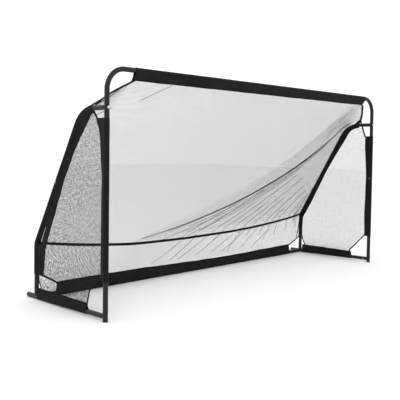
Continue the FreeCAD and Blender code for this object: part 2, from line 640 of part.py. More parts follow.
def make_arm_hardware(kind, name, sign):
    """The arm bolt, its washer or the threaded plug, in place on one side."""
    axis = f"{sign} * {HALF_WIDTH}"
    height = size("arm_height")
    washer_front = f"-({WASHER_SEAT} + {size('washer_thickness')})"
    radius = f"{size('bolt_diameter')} / 2"
    if kind == "washer":
        disc = cylinder(f"washer_disc_{name}", f"{size('washer_diameter')} / 2", size("washer_thickness"),
                        (axis, washer_front, height), Y_AXIS)
        hole = cylinder(f"washer_hole_{name}", BOLT_HOLE_R, f"{size('washer_thickness')} + 2 * {CUT_MARGIN}",
                        (axis, f"{washer_front} - {CUT_MARGIN}", height), Y_AXIS)
        return cut_all(f"washer_{name}", disc, [hole])
    if kind == "plug":
        block = cylinder(f"plug_block_{name}", f"{BORE_R} - {size('fit_gap')}", size("plug_length"),
                         (axis, f"{ARM_FRONT} + {size('seat_gap')}", height), Y_AXIS)
        hole = cylinder(f"plug_hole_{name}", f"{radius} + {size('thread_gap')}",
                        f"{size('plug_length')} + {size('seat_gap')} + 2 * {CUT_MARGIN}",
                        (axis, f"{ARM_FRONT} - {CUT_MARGIN}", height), Y_AXIS)
        return cut_all(f"plug_{name}", block, [hole])
    body = new_body(f"bolt_{name}")
    head_radius = f"{size('bolt_head_diameter')} / 2"
    head = size("bolt_head_height")
    chamfer = size("bolt_chamfer")
    shank_end = f"{BOLT_HEAD_REACH} + {ARM_FRONT} + {size('plug_length')} - {size('bolt_tip_inset')}"
    outline = new_sketch(body, "Side", "XZ_Plane")
    corners = [("0", "0"), (head_radius, head), (radius, head), (radius, f"{shank_end} - {chamfer}"),
               (f"{radius} - {chamfer}", shank_end), ("0", shank_end)]
    add_outline(outline, corners, arcs=[(0, dome_radius(head_radius, head))])
    revolve(body, outline)
    place(body, (axis, f"-{BOLT_HEAD_REACH}", height), Y_AXIS, X_AXIS)
    return body


# ---------------------------------------------------------------- fabric sleeves
def make_crossbar_sleeve():
    end = CROSSBAR_SLEEVE_END
    start = (f"-{end}", "0", BAR_HEIGHT)
    outer = cylinder("crossbar_sleeve_outer", SLEEVE_R, f"2 * {end}", start, X_AXIS)
    half = f"{size('flap_thickness')} / 2"
    flap = box("crossbar_flap", (f"-{end}", f"-{half}", CROSSBAR_FLAP_LOW),
               (end, half, f"({BAR_HEIGHT} - {TUBE_R})"))
    tools = [cylinder("crossbar_sleeve_bore", SLEEVE_BORE_R, f"2 * {end}", start, X_AXIS)]
    tools += [button_tool(name, WINDOW_R) for name in ("crossbar_left", "crossbar_middle", "crossbar_right")]
    return cut_all("crossbar_sleeve", fused("crossbar_sleeve_all", [outer, flap]), tools)


def make_rear_sleeve():
    end = REAR_SLEEVE_END
    start = (f"-{end}", size("base_depth"), POST_FOOT)
    outer = cylinder("rear_sleeve_outer", SLEEVE_R, f"2 * {end}", start, X_AXIS)
    half = f"{size('flap_thickness')} / 2"
    flap = box("rear_flap", (f"-{end}", f"({size('base_depth')} - {half})", f"({POST_FOOT} + {TUBE_R})"),
               (end, f"({size('base_depth')} + {half})", size("rear_flap_height")))
    tools = [cylinder("rear_sleeve_bore", SLEEVE_BORE_R, f"2 * {end}", start, X_AXIS),
             button_tool("rear_middle", WINDOW_R)]
    return cut_all("rear_ground_sleeve", fused("rear_sleeve_all", [outer, flap]), tools)


def make_upright_sleeve(name, sign):
    axis = f"{sign} * {HALF_WIDTH}"
    low, high = size("upright_sleeve_low"), UPRIGHT_SLEEVE_HIGH
    reach = size("upright_flap_reach")
    outer = cylinder(f"upright_sleeve_outer_{name}", SLEEVE_R, f"{high} - {low}", (axis, "0", low), Z_AXIS)
    flap = polygon_plate(f"upright_flap_{name}", [
        (TUBE_R, low), (TUBE_R, high), (size("upright_flap_top_reach"), high),
        (reach, f"{high} - {size('upright_flap_taper')}"), (reach, low)],
        size("flap_thickness"), axis)
    tools = [cylinder(f"upright_sleeve_bore_{name}", SLEEVE_BORE_R, f"{high} - {low}", (axis, "0", low),
                      Z_AXIS),
             button_tool(f"upright_{name}", WINDOW_R)]
    return cut_all(f"upright_sleeve_{name}", fused(f"upright_sleeve_all_{name}", [outer, flap]), tools)


def make_ground_sleeve(name, sign):
    axis = f"{sign} * {HALF_WIDTH}"
    front, rear = size("ground_sleeve_front"), GROUND_SLEEVE_REAR
    half = f"{size('flap_thickness')} / 2"
    stretch = 1 / math.cos(ground_angle)
    start = (axis, front, f"({size('ground_tube_front')} - {GROUND_FALL} * {front})")
    length = f"({rear} - {front}) * {stretch!r}"
    outer = cylinder(f"ground_sleeve_outer_{name}", SLEEVE_R, length, start, ground_back)
    flap = box(f"ground_flap_{name}", (f"({axis} - {half})", front, size("ground_tube_front")),
               (f"({axis} + {half})", rear, size("ground_flap_height")))
    bore = cylinder(f"ground_sleeve_bore_{name}", SLEEVE_BORE_R, f"{length} + 2 * {CUT_MARGIN}",
                    shifted(start, ground_back, f"-{CUT_MARGIN}"), ground_back)
    return cut_all(f"side_ground_sleeve_{name}", fused(f"ground_sleeve_all_{name}", [outer, flap]), [bore])


def flap_top(distance):
    """The upper corner of a flap whose edge is `distance` in front of the slope's axis."""
    return (f"({on_slope(SLOPE_TOP)} - {distance} * cos({SLOPE_ANGLE}))",
            f"({SLOPE_TOP} - {distance} * sin({SLOPE_ANGLE}))")


def make_stanchion_sleeve(name, sign):
    """Sleeve over the shoulder, slope, knee and post, with a flap along its front."""
    axis = f"{sign} * {HALF_WIDTH}"
    low, front = size("stanchion_sleeve_low"), STANCHION_SLEEVE_FRONT
    slope_part = f"({SLOPE_TOP} - {size('knee_height')}) * {SLOPE_LENGTH} / {SLOPE_DROP}"
    shoulder_part = f"({size('arm_height')} - {SLOPE_TOP}) * {SLOPE_LENGTH} / {SLOPE_DROP}"
    shells = {}
    for kind, radius in (("outer", SLEEVE_R), ("bore", SLEEVE_BORE_R)):
        lower = bent_tube(f"stanchion_sleeve_{kind}_{name}", f"({size('knee_height')} - {low})", SLOPE_ANGLE,
                          size("knee_radius"), f"({slope_part})", radius, None)
        place(lower, (axis, size("base_depth"), low), Z_AXIS, -Y_AXIS)
        upper = bent_tube(f"shoulder_sleeve_{kind}_{name}", f"({size('shoulder_reach')} - {front})",
                          f"(90 deg - {SLOPE_ANGLE})", size("shoulder_radius"),
                          f"({shoulder_part} + {size('stanchion_flap_width')})", radius, None)
        place(upper, (axis, front, size("arm_height")), Y_AXIS, -Z_AXIS)
        shells[kind] = [lower, upper]
    width = size("stanchion_flap_width")
    knee_front = f"({size('knee_height')} - {width} * tan({SLOPE_ANGLE} / 2))"
    post_front = f"{size('base_depth')} - {TUBE_R}"
    flap_front = f"{size('base_depth')} - {width}"
    arm_low = f"({size('arm_height')} - {TUBE_R})"
    flap = polygon_plate(f"stanchion_flap_{name}", [
        (post_front, low), (post_front, size("knee_height")),
        (f"{size('shoulder_reach')} - {TUBE_R} * tan((90 deg - {SLOPE_ANGLE}) / 2)", arm_low),
        (front, arm_low),
        (STANCHION_FLAP_FRONT, f"{size('arm_height')} - {size('stanchion_flap_arm_drop')}"),
        flap_top(width), (flap_front, knee_front), (flap_front, low)],
        size("flap_thickness"), axis)
    return cut_all(f"stanchion_sleeve_{name}",
                   fused(f"stanchion_sleeve_all_{name}", shells["outer"] + [flap]),
                   shells["bore"] + [button_tool(f"stanchion_{name}", WINDOW_R)])


# ---------------------------------------------------------------- nets and band
def make_side_net(name, sign):
    gap = size("net_gap")
    width = f"({size('stanchion_flap_width')} + {gap})"
    front = f"({size('upright_flap_reach')} + {gap})"
    low = f"({size('ground_flap_height')} + {gap})"
    rear = f"({size('base_depth')} - {width})"
    high = UPRIGHT_SLEEVE_HIGH
    lap = size("side_net_lap")
    below_sleeve = f"({size('stanchion_sleeve_low')} - {gap})"
    post_edge = f"({size('base_depth')} - {size('side_net_post_gap')})"
    return polygon_plate(f"side_net_{name}", [
        (front, f"({size('upright_sleeve_low')} + {lap})"),
        (front, f"({high} - {size('upright_flap_taper')})"),
        (f"({size('upright_flap_top_reach')} + {gap})", high),
        (STANCHION_FLAP_FRONT, f"({size('arm_height')} - {size('stanchion_flap_arm_drop')} - 2 * {gap})"),
        flap_top(width), (rear, f"({size('knee_height')} - {width} * tan({SLOPE_ANGLE} / 2))"),
        (rear, below_sleeve), (post_edge, below_sleeve),
        (post_edge, f"({low} + {size('side_net_corner_rise')})"),
        (f"({post_edge} - {size('side_net_corner_run')})", low),
        (f"({size('ground_sleeve_front')} + {lap})", low)],
        size("net_thickness"), f"{sign} * {HALF_WIDTH}")


NET_STATIONS = (0, 0.2, 0.4, 0.55, 0.7, 0.82, 0.9, 1)   # shares of the half width
SHOULDER_SHARES = (0.5, 1)                               # of the shoulder bend
SLOPE_SHARES = (1 / 3, 2 / 3)                            # of the slope
SPREAD = 3            # power by which the net's flat middle turns into the stanchions' line


def stanchion_path():
    """Points (distance behind the front plane, height) down the stanchion's axis, top to bottom."""
    radius, reach, arm = val(size("shoulder_radius")), val(size("shoulder_reach")), val(size("arm_height"))
    turn = math.pi / 2 - slope
    arc_start = reach - radius * math.tan(turn / 2)
    points = [(arc_start, arm)]
    points += [(arc_start + radius * math.sin(turn * share), arm - radius * (1 - math.cos(turn * share)))
               for share in SHOULDER_SHARES]
    slope_top, knee = val(SLOPE_TOP), val(size("knee_height"))
    for share in SLOPE_SHARES:
        height = slope_top + (knee - slope_top) * share
        points.append((val(on_slope(str(height))), height))
    bend = val(size("knee_radius")) * math.tan(slope / 2)
    points.append((val(on_slope(str(knee + bend * math.cos(slope)))), knee + bend * math.cos(slope)))
    points.append((val(size("base_depth")), knee - bend))
    points.append((val(size("base_depth")), val(size("stanchion_sleeve_low")) - val(size("back_net_lap"))))
    return points


def net_section(share):
    """The back net's line (distance behind the front plane, height) at a share of its half width."""
    gap = val(size("net_gap"))
    top = (0.0, val(CROSSBAR_FLAP_LOW) - gap)
    bottom = (val(size("base_depth")), val(size("rear_flap_height")) + gap)
    side = stanchion_path()
    blend = share ** SPREAD
    edge_share = val(CROSSBAR_SLEEVE_END) / val(NET_HALF)
    corner = max(0.0, (share - edge_share) / (1 - edge_share))
    points = []
    lengths = [0.0]
    for first, second in zip(side, side[1:]):
        lengths.append(lengths[-1] + math.dist(first, second))
    for (side_y, side_z), length in zip(side, lengths):
        run = length / lengths[-1]
        flat_y = top[0] + (bottom[0] - top[0]) * run
        flat_z = top[1] + (bottom[1] - top[1]) * run
        points.append([flat_y + (side_y - flat_y) * blend, flat_z + (side_z - flat_z) * blend])
    points[0] = [top[0] + (side[0][0] - top[0]) * corner, top[1] + (side[0][1] - top[1]) * corner]
    points[-1] = [bottom[0], bottom[1] + (side[-1][1] - bottom[1]) * corner]
    return points


def station_list():
    """Shares of the half width from left to right."""
    return [-share for share in reversed(NET_STATIONS[1:])] + list(NET_STATIONS)


def lofted(label, wires):
    """A ruled solid through closed outlines, one bay between each two stations."""
    bays = [Part.makeLoft([first, second], True, True) for first, second in zip(wires, wires[1:])]
    item = doc.addObject("Part::Feature", label)
    item.Label = label
    item.Shape = bays[0].multiFuse(bays[1:])
    item.Placement = FreeCAD.Placement(Vector(0, val(FRONT_PLANE), 0), FreeCAD.Rotation())
    return item


def make_back_net():
    half = val(NET_HALF)
    thickness = val(size("net_thickness"))
    wires = []
    for share in station_list():
        line = net_section(abs(share))
        back = [(y + thickness, z) for y, z in reversed(line)]
        ring = [Vector(share * half, y, z) for y, z in line + back]
        wires.append(Part.makePolygon(ring + ring[:1]))
    return lofted("back_net", wires)


def make_knee_band():
    """Webbing behind the back net from knee to knee, lower in the middle.

    It leans the same way at every station, so that each of its faces is flat.
    """
    half, sag = val(NET_HALF), val(size("band_sag"))
    width, thickness = val(size("band_width")), val(size("band_thickness"))
    (top_y, top_z), *_, (low_y, low_z) = net_section(0)
    lean = (low_y - top_y) / (top_z - low_z)
    wires = []
    for share in station_list():
        line = net_section(abs(share))
        height = val(size("knee_height")) - sag * (1 - share ** 2)
        upper, lower = next(pair for pair in zip(line, line[1:]) if pair[0][1] >= height >= pair[1][1])
        run = (upper[1] - height) / (upper[1] - lower[1])
        front = upper[0] + (lower[0] - upper[0]) * run + val(size("band_lift"))
        corners = ((0, -width / 2), (0, width / 2), (thickness, width / 2), (thickness, -width / 2))
        ring = [Vector(share * half, front + back - lean * up, height + up) for back, up in corners]
        wires.append(Part.makePolygon(ring + ring[:1]))
    return lofted("knee_band", wires)


def grouped(label, members):
    """Identical fasteners in one node, as separate solids."""
    doc.recompute()
    item = doc.addObject("Part::Feature", label)
    item.Label = label
    item.Shape = Part.makeCompound([member.Shape for member in members])
    return item


# ---------------------------------------------------------------- the goal
for name in SLIPS:
    if not name.startswith(JOINED_BY_SPIGOT) or name == "rear_middle":
        keep(make_joiner(name))
    keep(make_button(name))
for name, sign in sides:
    axis = f"{sign} * {HALF_WIDTH}"
    keep(make_lower_upright(name, sign))
    keep(make_corner_tube(name, sign))
    keep(make_crossbar_tube(name, sign))
    keep(make_stanchion_upper(name, sign))
    keep(make_stanchion_lower(name, sign))
    keep(make_side_ground_tube(name, sign))
    keep(make_rear_tube(name, sign))
    keep(make_cap(f"foot_cap_{name}", (axis, "0", "0"), Z_AXIS))
    tube_end = (axis, GROUND_RUN, GROUND_REAR)
    keep(make_cap(f"rear_cap_{name}", shifted(tube_end, ground_back, size("cap_flange")), -ground_back))
    keep(make_saddle(name, sign))
    keep(make_upright_sleeve(name, sign))
    keep(make_ground_sleeve(name, sign))
    keep(make_stanchion_sleeve(name, sign))
    keep(make_side_net(name, sign))
keep(make_crossbar_sleeve())
keep(make_rear_sleeve())
keep(grouped("clip_springs", [make_clip(name) for name in SLIPS]))
for kind, label in (("bolt", "arm_bolts"), ("washer", "arm_washers"), ("plug", "arm_plugs")):
    keep(grouped(label, [make_arm_hardware(kind, name, sign) for name, sign in sides]))
keep(make_back_net())
keep(make_knee_band())

doc.recompute()
for item in doc.Objects:
    if "Invalid" in item.State or "Error" in item.State:
        raise RuntimeError(f"{item.Label} failed: {item.State}")
for label, item in parts.items():
    if item.Shape.isNull() or not item.Shape.isValid() or not item.Shape.Solids:
        raise RuntimeError(f"{label} has no valid solid")

os.makedirs("parts", exist_ok=True)
for label, item in parts.items():
    item.Shape.exportStep(f"parts/{label}.step")
print(len(parts), "parts,", sum(len(item.Shape.Solids) for item in parts.values()), "solids")
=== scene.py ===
import json
import math

import bpy
import numpy as np
from mathutils import Matrix, Vector, noise


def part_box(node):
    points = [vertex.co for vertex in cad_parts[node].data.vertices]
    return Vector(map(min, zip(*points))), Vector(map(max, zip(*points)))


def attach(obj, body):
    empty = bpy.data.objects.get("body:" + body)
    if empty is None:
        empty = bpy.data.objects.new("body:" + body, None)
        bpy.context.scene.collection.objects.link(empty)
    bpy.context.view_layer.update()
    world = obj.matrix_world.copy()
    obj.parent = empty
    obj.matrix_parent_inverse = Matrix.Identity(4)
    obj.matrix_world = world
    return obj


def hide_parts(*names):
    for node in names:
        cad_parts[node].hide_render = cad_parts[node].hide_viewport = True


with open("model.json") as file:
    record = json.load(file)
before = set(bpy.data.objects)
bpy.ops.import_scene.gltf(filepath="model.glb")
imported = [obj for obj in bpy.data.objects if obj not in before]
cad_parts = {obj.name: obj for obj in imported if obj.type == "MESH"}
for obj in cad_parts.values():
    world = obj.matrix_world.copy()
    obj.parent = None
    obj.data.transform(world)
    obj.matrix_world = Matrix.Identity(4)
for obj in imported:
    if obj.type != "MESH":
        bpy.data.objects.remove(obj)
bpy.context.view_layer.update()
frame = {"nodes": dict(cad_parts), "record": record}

# ---------------------------------------------------------------- places, in metres, read from the frame
def middle(node, axis):
    low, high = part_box(node)
    return (low[axis] + high[axis]) / 2


def span(node, axis):
    low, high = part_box(node)
    return low[axis], high[axis]


HALF = middle("foot_cap_right", 0)               # middle of the goal to an upright's axis
FRONT = middle("foot_cap_right", 1)              # the uprights' plane
BAR = middle("crossbar_tube_left", 2)            # crossbar's axis
REAR = middle("rear_ground_tube_left", 1)        # rear posts' and rear ground tube's axis
REAR_LOW = middle("rear_ground_tube_left", 2)
TUBE = (span("crossbar_tube_left", 2)[1] - span("crossbar_tube_left", 2)[0]) / 2
ARM = middle("arm_bolts", 2)                     # side arm's axis
KNEE_BEND = 0.110                                # bend radii at the axis, as the frame's tubes have them
SHOULDER_BEND = 0.240
SHOULDER = FRONT + 0.297                         # where the arm's axis and the slope's axis meet
KNEE = 0.457                                     # height where the slope's and the post's axes meet
GROUND_FRONT_Z = 0.038                           # ground tube's axis at the front plane
GROUND_FALL = (GROUND_FRONT_Z - REAR_LOW) / (REAR - FRONT)
SLEEVE_R = TUBE + 0.0016                         # a sleeve's cloth over its tube
BODY = "frame"

SIDES = (("left", -1), ("right", 1))


def ground_height(y):
    return GROUND_FRONT_Z - GROUND_FALL * (y - FRONT)


# ---------------------------------------------------------------- material nodes
def new_material(name, colour, roughness, **sockets):
    material = bpy.data.materials.new(name)
    material.use_nodes = True
    shader = material.node_tree.nodes["Principled BSDF"]
    shader.inputs["Base Color"].default_value = (*colour, 1)
    shader.inputs["Roughness"].default_value = roughness
    for socket, value in sockets.items():
        shader.inputs[socket.replace("_", " ")].default_value = value
    return material, material.node_tree, shader


def add_node(tree, kind, **settings):
    node = tree.nodes.new(kind)
    for name, value in settings.items():
        if name in node.inputs:
            node.inputs[name].default_value = value
        else:
            setattr(node, name, value)
    return node


def object_coords(tree, scale=(1, 1, 1), turn=(0, 0, 0)):
    coords = tree.nodes.new("ShaderNodeTexCoord")
    mapping = add_node(tree, "ShaderNodeMapping", Scale=scale, Rotation=turn)
    tree.links.new(coords.outputs["Object"], mapping.inputs["Vector"])
    return mapping.outputs["Vector"]


def noise_of(tree, vector, scale, detail=3.0, roughness=0.55):
    node = add_node(tree, "ShaderNodeTexNoise", Scale=scale, Detail=detail, Roughness=roughness)
    tree.links.new(vector, node.inputs["Vector"])
    return node.outputs["Fac"]


def ramp(tree, factor, low, high, dark, light):
    node = tree.nodes.new("ShaderNodeValToRGB")
    node.color_ramp.elements[0].position, node.color_ramp.elements[1].position = low, high
    node.color_ramp.elements[0].color = (*dark, 1)
    node.color_ramp.elements[1].color = (*light, 1)
    tree.links.new(factor, node.inputs["Fac"])
    return node.outputs["Color"]


def to_range(tree, factor, low, high):
    node = add_node(tree, "ShaderNodeMapRange")
    node.inputs["To Min"].default_value, node.inputs["To Max"].default_value = low, high
    tree.links.new(factor, node.inputs["Value"])
    return node.outputs["Result"]


def bump(tree, shader, height, strength, distance):
    node = add_node(tree, "ShaderNodeBump", Strength=strength, Distance=distance)
    tree.links.new(height, node.inputs["Height"])
    tree.links.new(node.outputs["Normal"], shader.inputs["Normal"])


def maths(tree, operation, first, second):
    node = add_node(tree, "ShaderNodeMath", operation=operation)
    for index, value in enumerate((first, second)):
        if isinstance(value, (int, float)):
            node.inputs[index].default_value = value
        else:
            tree.links.new(value, node.inputs[index])
    return node.outputs["Value"]


def powder_coat():
    """Satin charcoal powder coat: orange peel, faint mottling and a little dust."""
    material, tree, shader = new_material("powder_coat", (0.02, 0.02, 0.022), 0.42, Coat_Weight=0.05)
    shader.inputs["Specular IOR Level"].default_value = 0.22
    coords = object_coords(tree)
    peel = noise_of(tree, coords, 900, 2)
    cloud = noise_of(tree, coords, 14, 4)
    speck = noise_of(tree, coords, 260, 5, 0.7)
    colour = ramp(tree, maths(tree, "ADD", maths(tree, "MULTIPLY", cloud, 0.6), maths(tree, "MULTIPLY", speck, 0.4)),
                  0.3, 0.75, (0.005, 0.005, 0.0055), (0.014, 0.014, 0.015))
    tree.links.new(colour, shader.inputs["Base Color"])
    tree.links.new(to_range(tree, cloud, 0.28, 0.42), shader.inputs["Roughness"])
    bump(tree, shader, peel, 0.12, 0.0004)
    return material


def weave_height(tree, pitch, turn=(0, 0, 0)):
    """Plain weave from two crossed sine waves, pitch metres from thread to thread."""
    coords = object_coords(tree, turn=turn)
    split = tree.nodes.new("ShaderNodeSeparateXYZ")
    tree.links.new(coords, split.inputs["Vector"])
    along = maths(tree, "ADD", split.outputs["X"], split.outputs["Y"])
    first = maths(tree, "SINE", maths(tree, "MULTIPLY", along, math.tau / pitch), 0)
    second = maths(tree, "SINE", maths(tree, "MULTIPLY", split.outputs["Z"], math.tau / pitch), 0)
    return maths(tree, "MULTIPLY", first, second)


def sleeve_fabric():
    """Coated polyester cover cloth: fine weave, soft folds of tone, dust on it."""
    material, tree, shader = new_material("sleeve_cloth", (0.008, 0.008, 0.009), 0.62)
    shader.inputs["Specular IOR Level"].default_value = 0.08
    coords = object_coords(tree)
    weave = weave_height(tree, 0.0016)
    cloud = noise_of(tree, coords, 9, 4)
    fine = noise_of(tree, coords, 420, 3)
    tone = maths(tree, "ADD", maths(tree, "MULTIPLY", cloud, 0.65), maths(tree, "MULTIPLY", fine, 0.35))
    colour = ramp(tree, tone, 0.32, 0.72, (0.004, 0.004, 0.0045), (0.012, 0.012, 0.013))
    tree.links.new(colour, shader.inputs["Base Color"])
    tree.links.new(to_range(tree, fine, 0.52, 0.72), shader.inputs["Roughness"])
    bump(tree, shader, maths(tree, "ADD", weave, maths(tree, "MULTIPLY", fine, 1.5)), 0.35, 0.0005)
    return material


def binding_tape(name="binding_tape", pitch=0.0022):
    """Ribbed polyester tape for bindings and webbing."""
    material, tree, shader = new_material(name, (0.006, 0.006, 0.0065), 0.7)
    shader.inputs["Specular IOR Level"].default_value = 0.08
    coords = object_coords(tree)
    weave = weave_height(tree, pitch, (0, 0, math.radians(20)))
    fine = noise_of(tree, coords, 600, 3)
    colour = ramp(tree, fine, 0.3, 0.75, (0.003, 0.003, 0.0035), (0.010, 0.010, 0.011))
    tree.links.new(colour, shader.inputs["Base Color"])
    tree.links.new(to_range(tree, fine, 0.6, 0.8), shader.inputs["Roughness"])
    bump(tree, shader, weave, 0.5, 0.0006)
    return material


def net_thread():
    """Black knitted polyester yarn."""
    material, tree, shader = new_material("net_yarn", (0.012, 0.012, 0.013), 0.75)
    shader.inputs["Specular IOR Level"].default_value = 0.1
    coords = object_coords(tree)
    fuzz = noise_of(tree, coords, 700, 2)
    cloud = noise_of(tree, coords, 3, 2)
    colour = ramp(tree, maths(tree, "ADD", maths(tree, "MULTIPLY", cloud, 0.5), maths(tree, "MULTIPLY", fuzz, 0.5)),
                  0.3, 0.7, (0.010, 0.010, 0.011), (0.022, 0.022, 0.023))
    tree.links.new(colour, shader.inputs["Base Color"])
    tree.links.new(to_range(tree, fuzz, 0.62, 0.85), shader.inputs["Roughness"])
    return material


def plated(name, colour, roughness):
    """Zinc or chrome plate with fine brushing and a few dull spots."""
    material, tree, shader = new_material(name, colour, roughness, Metallic=1.0)
    coords = object_coords(tree, (1, 1, 6))
    brushed = noise_of(tree, coords, 350, 4)
    cloud = noise_of(tree, object_coords(tree), 60, 3)
    light = tuple(min(1, part * 1.15) for part in colour)
    dark = tuple(part * 0.7 for part in colour)
    tree.links.new(ramp(tree, cloud, 0.3, 0.65, dark, light), shader.inputs["Base Color"])
    tree.links.new(to_range(tree, brushed, roughness * 0.7, roughness * 1.5), shader.inputs["Roughness"])
    bump(tree, shader, brushed, 0.1, 0.0002)
    return material


def moulded_plastic():
    """Black moulded plastic with a fine spark-eroded grain."""
    material, tree, shader = new_material("moulded_grain", (0.012, 0.012, 0.013), 0.55)
    shader.inputs["Specular IOR Level"].default_value = 0.25
    coords = object_coords(tree)
    grain = noise_of(tree, coords, 1400, 3)
    cloud = noise_of(tree, coords, 40, 3)
    tree.links.new(ramp(tree, cloud, 0.3, 0.7, (0.008, 0.008, 0.009), (0.018, 0.018, 0.019)),
                   shader.inputs["Base Color"])
    tree.links.new(to_range(tree, grain, 0.45, 0.65), shader.inputs["Roughness"])
    bump(tree, shader, grain, 0.3, 0.0003)
    return material


MATERIALS = {
    "powder_coat": powder_coat(),
    "sleeve_fabric": sleeve_fabric(),
    "net_mesh": net_thread(),
    "webbing": binding_tape("knee_webbing", 0.003),
    "binding": binding_tape(),
    "zinc_steel": plated("zinc_plate", (0.55, 0.55, 0.53), 0.32),
    "bright_steel": plated("bright_plate", (0.72, 0.72, 0.73), 0.18),
    "moulded_plastic": moulded_plastic(),
}


def dress_cad():
    """Give every carried-over CAD node its finish."""
    slots = {part["node"]: part["material_slot"] for part in frame["record"]["subparts"]}
    for node, slot in slots.items():
        obj = frame["nodes"][node]
        obj.data.materials.clear()
        obj.data.materials.append(MATERIALS[slot])


# ---------------------------------------------------------------- mesh helpers
def add_piece(name, verts, faces, material, replaces=()):
    mesh = bpy.data.meshes.new(name)
    mesh.from_pydata([tuple(v) for v in verts], [], faces)
    mesh.update()
    mesh.shade_smooth()
    obj = bpy.data.objects.new(name, mesh)
    bpy.context.scene.collection.objects.link(obj)
    mesh.materials.append(MATERIALS[material])
    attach(obj, BODY)
    if replaces:
        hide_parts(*replaces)
    return obj


def catmull(points, step):
    """A smooth line through points, resampled about every step metres."""
    pts = [np.array(p, float) for p in points]
    pts = [2 * pts[0] - pts[1]] + pts + [2 * pts[-1] - pts[-2]]
    line = []
    for a, b, c, d in zip(pts, pts[1:], pts[2:], pts[3:]):
        count = max(2, int(np.linalg.norm(c - b) / step))
        for t in np.linspace(0, 1, count, endpoint=False):
            line.append(0.5 * (2 * b + (c - a) * t + (2 * a - 5 * b + 4 * c - d) * t**2
                               + (3 * b - a - 3 * c + d) * t**3))
    line.append(pts[-2])
    return np.array(line)


def straight(start, end, step):
    start, end = np.array(start, float), np.array(end, float)
    count = max(2, int(np.linalg.norm(end - start) / step) + 1)
    return start + (end - start) * np.linspace(0, 1, count)[:, None]


def directions(line):
    ahead = np.gradient(line, axis=0)
    return ahead / np.linalg.norm(ahead, axis=1)[:, None]


def ring_faces(stations, points):
    """Quads between rings of `points` vertices at each station."""
    faces = []
    for i in range(stations - 1):
        for j in range(points):
            k = (j + 1) % points
            faces.append((i * points + j, i * points + k, (i + 1) * points + k, (i + 1) * points + j))
    return faces


def ribbon(name, line, normal, width, thickness, material, replaces=(), crown=0.25):
    """A flat band along a line: normal is the direction that its broad side faces."""
    normal = np.broadcast_to(np.array(normal, float), line.shape)
    ahead = directions(line)
    across = np.cross(normal, ahead)
    across /= np.linalg.norm(across, axis=1)[:, None]
    face = np.cross(ahead, across)
    half, deep = width / 2, thickness / 2
    outline = [(-1, -0.4), (-1, 0.4), (-0.92, 0.85), (-0.5, 1), (0, 1 + crown), (0.5, 1), (0.92, 0.85), (1, 0.4),
               (1, -0.4), (0.92, -0.85), (0.5, -1), (0, -1 - crown), (-0.5, -1), (-0.92, -0.85)]
    verts = []
    for point, side, up in zip(line, across, face):
        for a, b in outline:
            verts.append(point + side * (a * half) + up * (b * deep))
    faces = ring_faces(len(line), len(outline))
    count = len(outline)
    faces.append(tuple(reversed(range(count))))
    faces.append(tuple(range((len(line) - 1) * count, len(line) * count)))
    return add_piece(name, verts, faces, material, replaces)


# ---------------------------------------------------------------- lines that the cloth and nets follow
def bent_line(points, radii, step):
    """Straight runs through points (y, z) joined by tangent arcs of the given radii."""
    points = [np.array(p, float) for p in points]
    line = [points[0]]
    for before, corner, after, radius in zip(points, points[1:], points[2:], radii):
        into, out = corner - before, after - corner
        into, out = into / np.linalg.norm(into), out / np.linalg.norm(out)
        turn = math.acos(np.clip(into @ out, -1, 1))
        reach = radius * math.tan(turn / 2)
        sign = np.sign(into[0] * out[1] - into[1] * out[0])
        centre = corner - into * reach + sign * radius * np.array([-into[1], into[0]])
        arm = corner - into * reach - centre
        for share in np.linspace(0, 1, max(4, int(turn * radius / step))):
            angle = sign * turn * share
            spin = np.array([[math.cos(angle), -math.sin(angle)], [math.sin(angle), math.cos(angle)]])
            line.append(centre + spin @ arm)
    line.append(points[-1])
    dense = [line[0]]
    for a, b in zip(line, line[1:]):
        count = max(1, round(np.linalg.norm(b - a) / step))
        dense += [a + (b - a) * k / count for k in range(1, count + 1)]
    return np.array(dense)


def stanchion_line(low, arm_front, step):
    """The stanchion's axis as (y, z), from a height on the post up to a place on the arm."""
    return bent_line([(REAR, low), (REAR, KNEE), (SHOULDER, ARM), (arm_front, ARM)],
                     [KNEE_BEND, SHOULDER_BEND], step)


def lengths_along(line):
    return np.concatenate([[0], np.cumsum(np.linalg.norm(np.diff(line, axis=0), axis=1))])


# ---------------------------------------------------------------- sewn sleeves
CLOTH = 0.0007            # thickness of a sleeve's cloth
FLAP_EDGE = 0.0013        # half the thickness of the flap's edge
RING_POINTS = 26
FLAP_POINTS = 7
FLAP_TIP = 0.0006         # how far the flap's fold stands out
LEAN_LENGTH = 0.08        # length at a sleeve's end over which its flap leans
BUTTONS = [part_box(name) for name in frame["nodes"] if name.startswith("button_")]
WINDOW = 0.003            # cloth cut away round a button


def over_a_button(corners):
    """Whether a face of a sleeve lies over one of the snap buttons, where the cloth has an opening."""
    centre = np.mean(corners, axis=0)
    return any(np.linalg.norm(centre - np.clip(centre, low, high)) < WINDOW for low, high in BUTTONS)


def sleeve_outline(radius, reach, slack):
    """Half of a sleeve's section, round its tube and out along the flap, as (towards flap, sideways)."""
    reach = max(reach, radius * 1.05)
    start = math.acos(min(0.98, radius / reach)) * 0.8
    outline = []
    for angle in np.linspace(math.pi, start, RING_POINTS // 2):
        outline.append((radius * math.cos(angle), radius * math.sin(angle)))
    foot = outline[-1]
    for share in np.linspace(0, 1, FLAP_POINTS + 1)[1:]:
        side = foot[1] * (1 - share) ** slack + FLAP_EDGE * share
        outline.append((foot[0] + (reach - foot[0]) * share, max(side, FLAP_EDGE)))
    return outline


